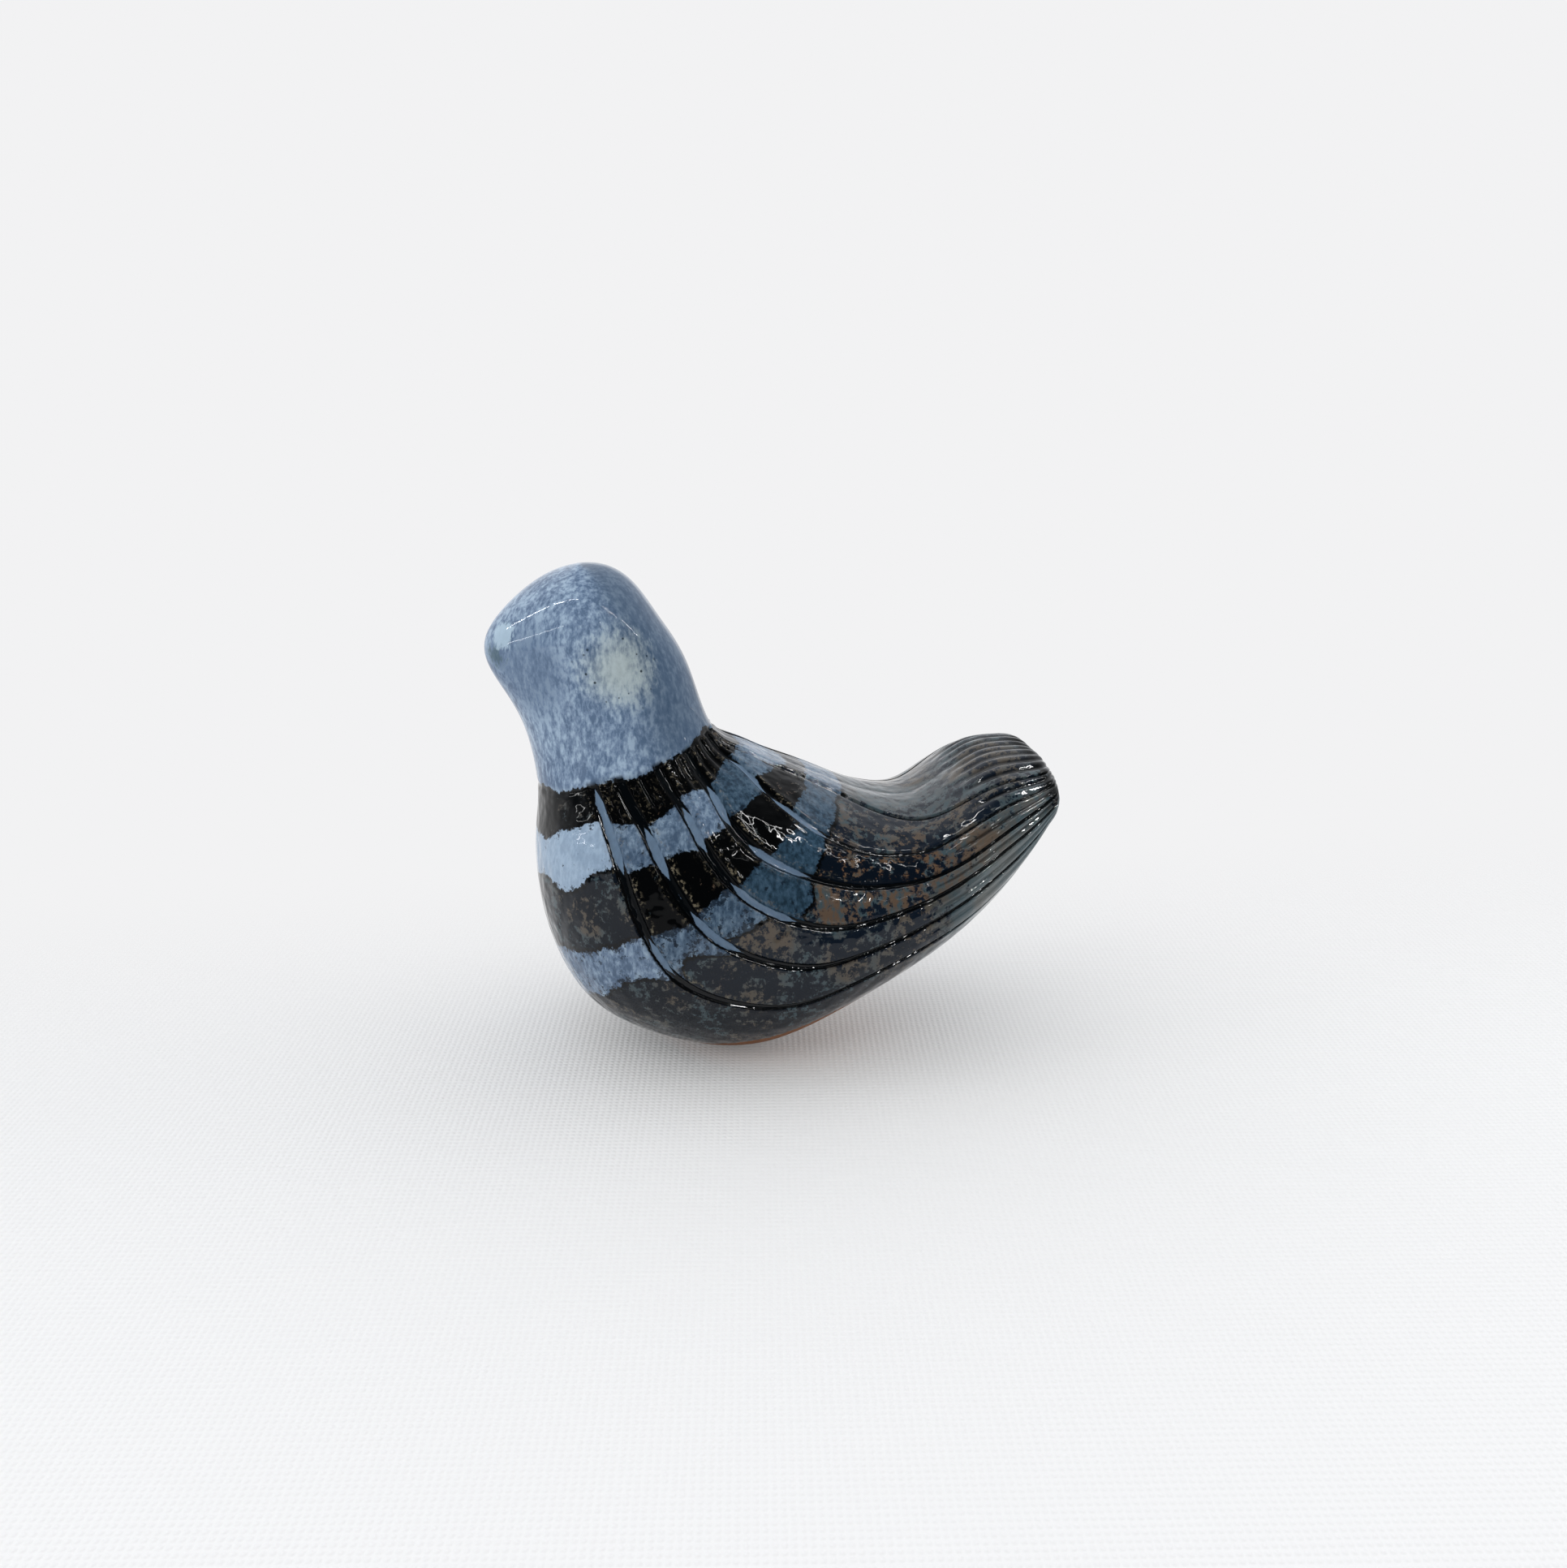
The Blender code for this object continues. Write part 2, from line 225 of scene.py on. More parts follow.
@dataclass(frozen=True)
class Loft:
    """The bird's smooth body, as the part's source has it, before any carving."""

    # Rings: belly line x and z, back line x and z, half width, squareness
    rings: Rows = (
        (-21.0, 48.0, -5.5, 50.0, 10.0, 2.0),
        (-21.5, 40.5, -2.5, 44.5, 10.0, 2.0),
        (-20.5, 31.5, 0.0, 37.5, 11.5, 2.0),
        (-21.0, 25.0, 3.5, 35.0, 14.5, 2.1),
        (-20.5, 16.0, 6.5, 33.5, 17.0, 2.2),
        (-17.0, 7.0, 10.0, 32.0, 18.5, 2.3),
        (-10.0, 1.5, 13.5, 30.5, 19.0, 2.3),
        (1.0, -1.2, 17.0, 29.0, 19.0, 2.3),
        (11.0, 2.0, 20.5, 28.0, 18.5, 2.3),
        (20.5, 7.0, 24.5, 28.0, 17.0, 2.3),
        (28.0, 12.0, 28.5, 30.5, 16.0, 2.3),
        (34.5, 18.0, 32.5, 33.0, 14.0, 2.3),
        (39.0, 24.5, 37.0, 33.5, 11.5, 2.3),
    )
    crown: Pair = (-14.5, 56.5)
    tail_tip: Pair = (40.5, 30.5)
    crown_squareness: float = 2.0
    tip_squareness: float = 2.8
    beak: Triple = (-23.5, 0.0, 48.0)
    beak_reach: float = 5.0
    beak_spread: Triple = (6.0, 4.5, 4.5)
    step: float = 0.001

    def spline(self) -> Spline:
        """Give the spline through the rings."""
        return Spline(self.rings)

    def sections(self, places: np.ndarray) -> tuple[np.ndarray, ...]:
        """Give each ring's centre, half depth, half width and squareness.

        Args:
            places: places along the loft, from the crown at -1 to the tip of the tail at 13.

        Returns:
            Centres and half depths as x and z, half widths, and squarenesses.
        """
        last = Place.TAIL_END.value
        inside = np.clip(places, 0, last)
        spline = self.spline()
        values = spline.at(inside)
        low, high = np.clip(inside - self.step, 0, last), np.clip(inside + self.step, 0, last)
        slope = (spline.at(high) - spline.at(low)) / (high - low)[:, None]
        over = np.abs(places - inside)[:, None]
        lean = over * math.pi / 2
        before = (places < 0)[:, None]
        end = np.where(before, self.crown, self.tail_tip)
        narrowing = np.where(before, self.crown_squareness, self.tip_squareness)
        centre = (values[:, 0:2] + values[:, 2:4]) / 2
        taper = slope * np.where(before, -1.0, 1.0)
        travel = np.linalg.norm(end - centre, axis=1, keepdims=True) * math.pi / 2
        pace = travel / np.linalg.norm((taper[:, 0:2] + taper[:, 2:4]) / 2, axis=1, keepdims=True)
        values = values + taper * pace * over * (1 - over) ** 2
        half = (values[:, 0:2] - values[:, 2:4]) / 2 * np.cos(lean)
        centre = centre + (end - centre) * np.sin(lean)
        inset = np.maximum(1 - np.sin(lean) ** narrowing, 0.0) ** (1 / narrowing)
        return centre, half, values[:, 4:5] * inset, values[:, 5:6]

    def points(self, places: np.ndarray, angles: np.ndarray) -> np.ndarray:
        """Give points of the smooth body.

        Args:
            places: one place for each row.
            angles: angles in degrees, a row for each place.

        Returns:
            Points as rows, columns and x, y, z.
        """
        centre, half, half_width, squareness = self.sections(places)
        turn = np.radians(angles)
        reach = squared_reach(turn, squareness)
        x, z = (centre[:, i:i + 1] + half[:, i:i + 1] * reach * np.cos(turn) for i in (0, 1))
        y = -half_width * reach * np.sin(turn)
        away = sum(
            (line - start) ** 2 / (2 * spread ** 2)
            for line, start, spread in zip((x, y, z), self.beak, self.beak_spread)
        )
        return np.stack([x - self.beak_reach * np.exp(-away), y, z], -1)


@dataclass(frozen=True)
class Carving:
    """Feather lines, pleats and tail lines cut into the soft clay."""

    # Angle of each line at every second ring from the collar to the tail
    lines: Rows = (
        (68, 75, 70, 74, 66, 52),
        (85, 92, 90, 91, 84, 67),
        (110, 110, 107, 107, 100, 82),
        (132, 124, 123, 122, 112, 97),
        (158, 148, 140, 136, 129, 114),
        (168, 168, 166, 158, 146, 131),
    )
    half_widths: Pair = (0.58, 0.18)
    depths: Pair = (0.34, 0.3)
    # Half widths from the middle of a line at which its flat floor ends and its wall is over
    floor: float = 0.7
    brink: float = 1.3
    ridge_height: float = 0.12
    ridge_middle: float = 1.8
    ridge_spread: float = 0.5
    # Places between which the carving starts at the collar and ends on the tail's tip
    start: Pair = (1.94, 2.02)
    end: Pair = (12.3, 12.85)
    # Places between which the ridges sink to their share at the tail, and the strips swell
    neck_fade: Pair = (5.0, 8.0)
    ridge_at_tail: float = 0.35
    swell: Pair = (3.0, 7.0)
    # Half widths beyond which nothing of a line or pleat shows
    far_off: float = 9.0
    # Shares across each strip where short pleats run down from the collar
    pleats: Rows = (
        (), (0.42, 0.78), (0.25, 0.5, 0.78), (0.12, 0.35, 0.7), (0.3, 0.62), (), (),
    )
    pleat_half_width: float = 0.32
    pleat_depth: float = 0.34
    pleat_places: Pair = (2.65, 3.2)
    # Shares across each strip where lines run out over the tail, their half widths and where they start
    tail_lines: Rows = (
        (0.6,), (0.6,), (0.45,), (0.5,), (0.52,), (0.6,), (0.19, 0.4, 0.6, 0.8, 1.0),
    )
    tail_line_half_widths: tuple[float, ...] = (0.36, 0.24, 0.24, 0.24, 0.28, 0.32, 0.48)
    tail_line_shades: tuple[float, ...] = (0.3, 0.3, 0.4, 0.6, 0.85, 1.0, 0.9)
    tail_line_starts: tuple[float, ...] = (8.8, 8.6, 8.6, 8.6, 9.2, 9.8, 9.8)
    tail_line_rise: float = 0.9
    tail_line_depth: float = 0.3
    # Swell of each strip between two carved lines
    pillow: float = 0.2
    collar_step: float = 0.14
    collar_width: float = 0.05

    def angles(self, places: np.ndarray) -> np.ndarray:
        """Give the lines' angles at places along the body.

        Args:
            places: places along the loft.

        Returns:
            One row for each place: 0, the six lines' angles and 180.
        """
        within = np.clip(places, Place.COLLAR.value, Place.TAIL_END.value)
        lines = Spline(np.array(self.lines, dtype=float).T).at((within - Place.COLLAR.value) / 2)
        ends = np.zeros((len(places), 1))
        return np.hstack([ends, lines, ends + 180])

    def taper(self, places: np.ndarray, pair: Pair) -> np.ndarray:
        """Run from a size at the neck to a size at the tail, as a column."""
        share = smooth_step(places, Place.COLLAR.value, Place.TAIL_END.value)[:, None]
        return pair[0] + (pair[1] - pair[0]) * share


@dataclass(frozen=True)
class Patches:
    """Where the glaze changes: rings at which each strip turns, at places across it."""

    # Places, evenly spaced across each strip, where the head's glaze ends and where each patch turns
    collar: Rows = (
        (1.98, 1.98, 1.98, 1.96), (1.93, 1.93, 1.95), (1.97, 2.0, 2.0), (1.97, 1.95, 1.93),
        (1.9, 1.89, 1.89), (1.9, 1.93, 1.96), (1.98, 2.03, 2.05),
    )
    first_blue: Rows = (
        (2.85, 2.85, 2.83, 2.9, 2.82, 2.72, 2.69, 2.63, 2.74), (2.65, 2.8, 2.97), (3.08, 2.98, 2.89),
        (2.84, 2.75, 2.9), (2.91, 2.78, 2.71), (2.7, 2.76, 2.8), (2.82, 2.87, 2.9),
    )
    second_dark: Rows = (
        (3.55, 3.52, 3.46, 3.4, 3.52, 3.66, 3.52, 3.42, 3.52), (3.7, 3.66, 3.74), (3.74, 3.82, 4.12),
        (3.86, 3.95, 4.04), (3.92, 4.03, 4.16), (3.76, 4.0, 4.25), (4.35, 4.6, 4.7),
    )
    second_blue: Rows = (
        (4.32, 4.33, 4.34, 4.33, 4.35, 4.43, 4.49, 4.53, 4.64), (4.66, 4.76, 4.92), (4.84, 4.9, 4.95),
        (5.0, 5.06, 5.14), (5.14, 5.25, 5.39), (5.1, 5.17, 5.25), (5.25, 5.3, 5.35),
    )
    last_dark: Rows = (
        (5.08, 5.08, 5.07, 5.06, 5.05, 5.04, 5.02, 5.1, 5.45),
        (5.8, 5.42, 5.28, 5.33, 5.5, 5.72, 5.95), (5.5, 5.79, 5.9),
        (6.6, 6.38, 6.44, 6.48, 6.4, 6.3, 6.24), (6.25, 6.2, 6.1), (6.2, 6.25, 6.3), (6.4, 6.5, 6.6),
    )
    # Places between which the blue runs along each carved line's channel: first run, then second run
    runs: tuple[tuple[float, float, float, float], ...] = (
        (1.95, 3.7, 4.6, 5.45), (2.95, 4.2, 4.7, 6.0), (2.9, 4.2, 4.8, 6.45),
        (2.8, 4.1, 4.5, 6.3), (2.7, 4.3, 4.3, 6.3), (2.7, 4.3, 5.1, 6.3),
    )
    # Rows of one value for each strip: how pale and how speckled the blue is, and how black and how
    # brown the dark glaze is. Each row gives way to the next between two places
    pale: Rows = ((1.3, 0.5, 0.5, 0.6, 0.08, 0.25, 0.5), (0.75, 0.35, 0.25, 0.0, 0.0, 0.08, 0.35))
    speck: Rows = ((0.0, 0.35, 0.1, 0.1, 0.0, 0.0, 0.0), (0.45, 0.8, 0.9, 0.3, 0.1, 0.0, 0.0))
    # Black below zero, on the tail's lower strips, turns the metal paler: painted reflection of the pale
    # cloth
    black: Rows = (
        (0.7, 1.0, 1.0, 1.0, 1.0, 0.9, 0.6), (0.5, 1.0, 1.0, 0.95, 1.0, 0.8, 0.4),
        (0.5, 0.45, 0.4, 0.15, 0.5, 0.3, 0.1), (-0.7, -0.7, -0.7, -0.5, -0.1, 0.3, 0.25),
        (-0.7, -0.7, -0.7, 0.9, 0.9, 0.9, 0.9),
    )
    brown: Rows = (
        (0.1, 0.15, 0.8, 0.2, 0.25, 0.4, 0.3), (0.05, 0.1, 0.2, 0.8, 1.0, 0.5, 0.2),
        (0.015, 0.03, 0.06, 0.24, 0.3, 0.15, 0.06),
    )
    blue_turns: tuple[Pair, ...] = ((3.9, 4.3),)
    black_turns: tuple[Pair, ...] = ((3.2, 3.5), (5.0, 5.3), (8.5, 11.0), (11.7, 12.4))
    brown_turns: tuple[Pair, ...] = ((5.3, 5.9), (8.5, 11.0))
    # Places between which the body's own marks begin, and angles between which the head's blue darkens
    # towards the back line: mostly painted shade, with some of the glaze's own deeper tone
    below: Pair = (1.9, 1.98)
    collar_blur: float = 0.1
    nape_shade: Pair = (88.0, 128.0)
    # How far the head's glaze clears specks away and smooths the shine
    head_clears: float = 2.0
    head_smooths: float = 0.93
    # Ragged spots on the head: middles in millimetres
    cheek: Triple = (-10.9, 9.4, 46.3)
    beak: Triple = (-23.3, 3.7, 49.3)
    throat: Triple = (-24.1, 3.2, 46.9)
    chin: Triple = (-20.8, 6.4, 45.6)
    # Bare clay round the foot: its height at places along x
    bare_x: tuple[float, ...] = (-25.0, -6.0, -4.0, 0.0, 5.0, 9.5, 13.5, 18.0, 40.0)
    bare_z: tuple[float, ...] = (0.5, 0.8, 1.3, 2.3, 3.7, 5.4, 7.0, 7.7, 8.0)

    def edge(self, table: Rows, strip: np.ndarray, share: np.ndarray) -> np.ndarray:
        """Give the place at which each strip turns.

        Args:
            table: places across each strip, evenly spaced.
            strip: strip number of each point.
            share: each point's share across its strip.

        Returns:
            The place of the turn at each point.
        """
        result = np.zeros(strip.shape)
        for number, row in enumerate(table):
            here = strip == number
            result[here] = np.interp(share[here], np.linspace(0, 1, len(row)), row)
        return result


@dataclass
class Body:
    """The whole whistle body: carved skin, foot, chamber, windway and window."""

    loft: Loft = field(default_factory=Loft)
    carving: Carving = field(default_factory=Carving)
    patches: Patches = field(default_factory=Patches)
    # Offsets of the columns across a carved line, in its half widths
    line_columns: tuple[float, ...] = (-2.7, -1.8, -1.3, -1.0, -0.7, 0.0, 0.7, 1.0, 1.3, 1.8, 2.7)
    belly_columns: int = 13
    strip_columns: int = 8
    back_columns: int = 34
    crown_rows: int = 20
    head_rows: int = 42
    patch_rows: int = 146
    tail_rows: int = 66
    tip_rows: int = 15
    patch_start: float = 1.8
    patch_end: float = 7.0
    # Place on the head up to which the columns are evenly spaced
    even_until: float = 0.6
    wall: float = 4.5
    chamber_front: float = 2.9
    chamber_rear: float = 8.5
    chamber_caps: Pair = (4.0, 3.6)
    chamber_columns: int = 40
    chamber_rows: int = 22
    chamber_end_rows: int = 9
    windway_width: float = 8.0
    windway_height: float = 1.8
    mouth_share: float = 0.3
    window_edge: float = 8.55
    cut_up: float = 6.2
    ramp_angle: float = 50.0
    throat_rise: float = 2.4
    clearance: float = 1.0
    weld: float = 0.0005
    # Degrees over which an edge of bare clay looks sharp, and what turns near points into far ones
    crisp_angle: float = 40.0
    mirror: Triple = (1.0, -1.0, 1.0)

    def places(self) -> np.ndarray:
        """Give the places of the mesh's rows, closest together over the glaze's patches."""
        turns = [
            (Place.CROWN.value, Place.HEAD.value, self.crown_rows),
            (Place.HEAD.value, self.patch_start, self.head_rows),
            (self.patch_start, self.patch_end, self.patch_rows),
            (self.patch_end, Place.TAIL_END.value, self.tail_rows),
            (Place.TAIL_END.value, Place.TAIL_TIP.value, self.tip_rows),
        ]
        runs = [np.linspace(start, end, count, endpoint=False) for start, end, count in turns]
        return np.concatenate(runs + [np.array([Place.TAIL_TIP.value])])

    def columns(self, places: np.ndarray) -> np.ndarray:
        """Give the angles of the mesh's columns on the near half, crowded over the carved lines.

        Args:
            places: places of the rows.

        Returns:
            Angles in degrees, from 0 to 180, a row for each place.
        """
        angles = self.carving.angles(places)
        rates = self.rates(places, angles)
        half = self.carving.taper(places, self.carving.half_widths)
        columns = [np.zeros((len(places), 1))]
        counts = (self.belly_columns,) + (self.strip_columns,) * (len(self.carving.lines) - 1)
        for number in range(1, len(counts) + 1):
            middle, rate = angles[:, number:number + 1], rates[:, number:number + 1]
            group = middle + np.array(self.line_columns)[None, :] * half / rate
            columns.append(self.spread(columns[-1][:, -1:], group[:, :1], counts[number - 1]))
            columns.append(group)
        end = np.full((len(places), 1), 180.0)
        columns.append(self.spread(columns[-1][:, -1:], end, self.back_columns))
        columns.append(end)
        result = np.hstack(columns)
        even = 1 - smooth_step(places, self.even_until, Place.COLLAR.value)[:, None]
        level = np.linspace(0, 180, result.shape[1])[None, :]
        return result + (level - result) * even

    @staticmethod
    def spread(start: np.ndarray, end: np.ndarray, count: int) -> np.ndarray:
        """Space columns evenly between two columns."""
        return start + (end - start) * np.arange(1, count + 1)[None, :] / (count + 1)

    def rates(self, places: np.ndarray, angles: np.ndarray) -> np.ndarray:
        """Give the millimetres to a degree round the body, at angles of each row."""
        within = np.clip(places, Place.COLLAR.value, Place.TAIL_END.value)
        ahead, behind = self.loft.points(within, angles + 1), self.loft.points(within, angles - 1)
        return np.linalg.norm(ahead - behind, axis=-1) / 2

    def normals(self, places: np.ndarray, angles: np.ndarray, points: np.ndarray) -> np.ndarray:
        """Give outward unit normals of the smooth body at points of the mesh."""
        step, least = 0.02, 1e-9
        ahead = np.clip(places + step, Place.CROWN.value, Place.TAIL_TIP.value)
        behind = np.clip(places - step, Place.CROWN.value, Place.TAIL_TIP.value)
        along = self.loft.points(ahead, angles) - self.loft.points(behind, angles)
        around = self.loft.points(places, angles + 1) - self.loft.points(places, angles - 1)
        normal = np.cross(along, around)
        length = np.linalg.norm(normal, axis=-1, keepdims=True)
        normal = np.where(length > least, normal / np.maximum(length, least), 0.0)
        centre = self.loft.sections(places)[0]
        middle = np.stack([centre[:, 0], np.zeros(len(places)), centre[:, 1]], -1)[:, None, :]
        away = np.sum(normal * (points - middle), axis=-1, keepdims=True)
        return normal * np.where(away < 0, -1.0, 1.0)

    def marks(self, places: np.ndarray, angles: np.ndarray, points: np.ndarray) -> dict[str, np.ndarray]:
        """Work out the carved depth and the glaze's marks at every point of the near half.

        Args:
            places: places of the rows.
            angles: angles of the columns.
            points: the smooth body's points.

        Returns:
            Millimetres or shares by name, with the carved depth among them.
        """
        carving, patches = self.carving, self.patches
        at = np.broadcast_to(places[:, None], angles.shape)
        lines = carving.angles(places)
        offsets = angles[:, :, None] - lines[:, None, 1:-1]
        strip = np.sum(offsets >= 0, axis=-1)
        left = np.take_along_axis(lines, strip, axis=1)
        right = np.take_along_axis(lines, strip + 1, axis=1)
        share = np.clip((angles - left) / (right - left), 0.0, 1.0)
        rates = self.rates(places, angles)
        width = (right - left) * rates

        # Distance to the nearest carved line, in its half widths
        half = carving.taper(places, carving.half_widths)
        gaps = np.abs(offsets)
        nearest = np.argmin(gaps, axis=-1)
        groove = np.min(gaps, axis=-1) * rates / half
        carved = smooth_step(at, *carving.start) * (1 - smooth_step(at, *carving.end))
        neck = 1 - smooth_step(at, *carving.neck_fade)
        channel = 1 - smooth_step(groove, carving.floor, carving.brink)
        depth = carving.taper(places, carving.depths) * channel * carved
        ridge = np.exp(-((groove - carving.ridge_middle) / carving.ridge_spread) ** 2)
        ridge = ridge * (carving.ridge_at_tail + (1 - carving.ridge_at_tail) * neck)
        depth = depth - carving.ridge_height * ridge * carved

        pillow = carving.pillow * smooth_step(at, *carving.swell) * carved * (1 - (2 * share - 1) ** 2)
        depth = depth - np.where(strip > 0, pillow, 0.0)

        # Short pleats below the collar and fine lines over the tail
        fold = np.full(angles.shape, carving.far_off)
        tail_line = np.zeros(angles.shape)
        for number, pleats in enumerate(carving.pleats):
            here = strip == number
            for middle in pleats:
                gap = np.abs(share - middle) * width / carving.pleat_half_width
                fold = np.where(here, np.minimum(fold, gap), fold)
            start = carving.tail_line_starts[number]
            reach = smooth_step(at, start, start + carving.tail_line_rise)
            for middle in carving.tail_lines[number]:
                gap = np.abs(share - middle) * width / carving.tail_line_half_widths[number]
                tail_line = np.where(here, np.maximum(tail_line, reach * np.exp(-gap ** 2)), tail_line)
        pleated = carved * (1 - smooth_step(at, *carving.pleat_places))
        tail_line = tail_line * carved
        depth = depth + carving.pleat_depth * pleated * np.exp(-fold ** 2)
        depth = depth + carving.tail_line_depth * tail_line

        # Millimetres from the edges of the blue glaze, positive inside it
        pace = np.linalg.norm(np.gradient(points, axis=0), axis=-1) / np.gradient(places)[:, None]
        collar, blue, dark, blue_again, dark_again = (
            patches.edge(table, strip, share)
            for table in (patches.collar, patches.first_blue, patches.second_dark,
                          patches.second_blue, patches.last_dark)
        )
        head = collar - at
        first = np.minimum(at - blue, dark - at)
        second = np.minimum(at - blue_again, dark_again - at)
        light = np.maximum(np.maximum(head, first), second) * pace
        depth = depth + carving.collar_step * np.exp(-((at - collar) / carving.collar_width - 1) ** 2)

        # Millimetres from the ends of the blue runs in the channels, positive inside them
        ends = np.array(patches.runs)[nearest]
        upper = np.minimum(at - ends[..., 0], ends[..., 1] - at)
        lower = np.minimum(at - ends[..., 2], ends[..., 3] - at)
        run = np.maximum(upper, lower) * pace

        # Strip by strip the glaze turns paler, more speckled, blacker or browner
        def turned(rows: Rows, turns: tuple[Pair, ...]) -> np.ndarray:
            """Turn from each row of strip values to the next between two places."""
            value = np.array(rows[0])[strip]
            for row, turn in zip(rows[1:], turns):
                value = value + (np.array(row)[strip] - value) * smooth_step(at, *turn)
            return value

        on_head = smooth_step(collar - at, -patches.collar_blur, patches.collar_blur)
        pale = turned(patches.pale, patches.blue_turns)
        angle_gap = np.take_along_axis(offsets, nearest[..., None], -1)
        # Side of each point from its nearest line, from -1 to 1; the glaze paints shade on the side at -1
        # and highlight on the side at 1
        side = np.clip(angle_gap[..., 0] * rates / half / carving.floor, -1.0, 1.0)
        spots = {
            name: np.linalg.norm(points - np.array(middle) * np.array(self.mirror), axis=-1)
            for name, middle in (
                ("cheek", patches.cheek), ("beak", patches.beak), ("throat", patches.throat),
                ("chin", patches.chin),
            )
        }
        return {
            "depth": depth, "light": light, "groove": np.minimum(groove, carving.far_off), "run": run,
            "side": side, "pale": pale + (1.0 - pale) * on_head,
            "speck": turned(patches.speck, patches.blue_turns) - patches.head_clears * on_head,
            "black": turned(patches.black, patches.black_turns),
            "brown": turned(patches.brown, patches.brown_turns),
            "below": smooth_step(at, *patches.below), "near_neck": neck,
            "pleat": fold + carving.far_off * (1 - pleated),
            "tail_line": tail_line * np.array(carving.tail_line_shades)[strip],
            "nape_shade": smooth_step(angles, *patches.nape_shade) * on_head,
            "relief": 1.0 - patches.head_smooths * on_head,
            "bare": np.interp(points[..., 0], patches.bare_x, patches.bare_z) - points[..., 2], **spots,
        }

    def skin(self) -> bpy.types.Mesh:
        """Build the carved skin, cut level at the foot, with the glaze's marks on its points.

        Returns:
            The mesh, in metres, with a layer for each mark.
        """
        places = self.places()
        angles = self.columns(places)
        points = self.loft.points(places, angles)
        normals = self.normals(places, angles, points)
        marks = self.marks(places, angles, points)
        points = points - normals * marks["depth"][..., None]
        far = points[:, -2:0:-1] * np.array(self.mirror)
        rows = np.concatenate([points, far], axis=1)
        names = [name for name in marks if name != "depth"]
        layers = {name: np.concatenate([marks[name], marks[name][:, -2:0:-1]], axis=1) for name in names}
        sheet = self.wrap(rows, layers)
        parts = list(sheet.verts) + list(sheet.edges) + list(sheet.faces)
        cut = bmesh.ops.bisect_plane(
            sheet, geom=parts, plane_co=(0, 0, 0), plane_no=(0, 0, 1), clear_inner=True
        )
        rim = [part for part in cut["geom_cut"] if isinstance(part, bmesh.types.BMEdge)]
        foot = bmesh.ops.holes_fill(sheet, edges=rim, sides=0)["faces"]
        bmesh.ops.recalc_face_normals(sheet, faces=sheet.faces)
        for face in sheet.faces:
            face.smooth = True
        for face in foot:
            face.material_index = Surface.CLAY.value
            face.smooth = False
        return self.finish("whistle_skin", sheet)

    def wrap(self, rows: np.ndarray, layers: dict[str, np.ndarray]) -> bmesh.types.BMesh:
        """Wrap a flat grid into rings and weld its seam and poles.

        Args:
            rows: points of each ring.
            layers: values of each point, by name.

        Returns:
            The closed shape, in millimetres.
        """
        sheet = bmesh.new()
        count, wide = rows.shape[0], rows.shape[1]
        bmesh.ops.create_grid(sheet, x_segments=wide, y_segments=count - 1, size=1)
        sheet.verts.ensure_lookup_table()
        stores = {name: sheet.verts.layers.float.new(name) for name in layers}
        for number, vertex in enumerate(sheet.verts):
            row, column = divmod(number, wide + 1)
            vertex.co = rows[row, column % wide]
            for name, store in stores.items():
                vertex[store] = float(layers[name][row, column % wide])
        bmesh.ops.remove_doubles(sheet, verts=sheet.verts, dist=self.weld)
        bmesh.ops.recalc_face_normals(sheet, faces=sheet.faces)
        return sheet

    @staticmethod
    def finish(name: str, shape: bmesh.types.BMesh) -> bpy.types.Mesh:
        """Make a mesh in metres from a shape in millimetres."""
        bmesh.ops.scale(shape, vec=(MILLIMETRE,) * 3, verts=shape.verts)
        mesh = bpy.data.meshes.new(name)
        shape.to_mesh(mesh)
        shape.free()
        return mesh

    def windway_line(self) -> tuple[np.ndarray, np.ndarray]:
        """Give the edge that the air meets, and the direction from it to the mouth of the windway."""
        centre, half = self.loft.sections(np.array([self.window_edge]))[:2]
        edge = centre[0] + half[0] * (1 - self.wall / np.linalg.norm(half[0]))
        centre, half = self.loft.sections(np.array([Place.TAIL_END.value]))[:2]
        mouth = centre[0] + half[0] * (1 - 2 * self.mouth_share)
        return edge, (mouth - edge) / np.linalg.norm(mouth - edge)

    def chamber(self) -> bpy.types.Mesh:
        """Build the sounding chamber: the body's own form, smaller by the wall, with round ends."""
        ends = [i / self.chamber_end_rows * math.pi / 2 for i in range(self.chamber_end_rows, 0, -1)]
        middle = np.linspace(self.chamber_front, self.chamber_rear, self.chamber_rows)
        front, rear = self.chamber_caps
        stations = [(self.chamber_front, -front, lean) for lean in ends]
        stations += [(float(at), 0.0, 0.0) for at in middle]
        stations += [(self.chamber_rear, rear, lean) for lean in reversed(ends)]
        angles = np.radians(np.arange(self.chamber_columns) * 360 / self.chamber_columns)
        rows, step = [], 0.1
        for at, cap, lean in stations:
            near = np.array([at, at + step, at - step])
            centres, halves, half_widths, squares = self.loft.sections(near)
            ahead = centres[1] - centres[2]
            centre = centres[0] + ahead / np.linalg.norm(ahead) * cap * math.sin(lean)
            depth = np.linalg.norm(halves[0])
            half = halves[0] * (depth - self.wall) / depth * math.cos(lean)
            half_width = (half_widths[0, 0] - self.wall) * math.cos(lean)
            reach = squared_reach(angles, squares[0, 0])
            x, z = (centre[i] + half[i] * reach * np.cos(angles) for i in (0, 1))
            rows.append(np.stack([x, -half_width * reach * np.sin(angles), z], -1))
        return self.finish("chamber", self.wrap(np.array(rows), {}))

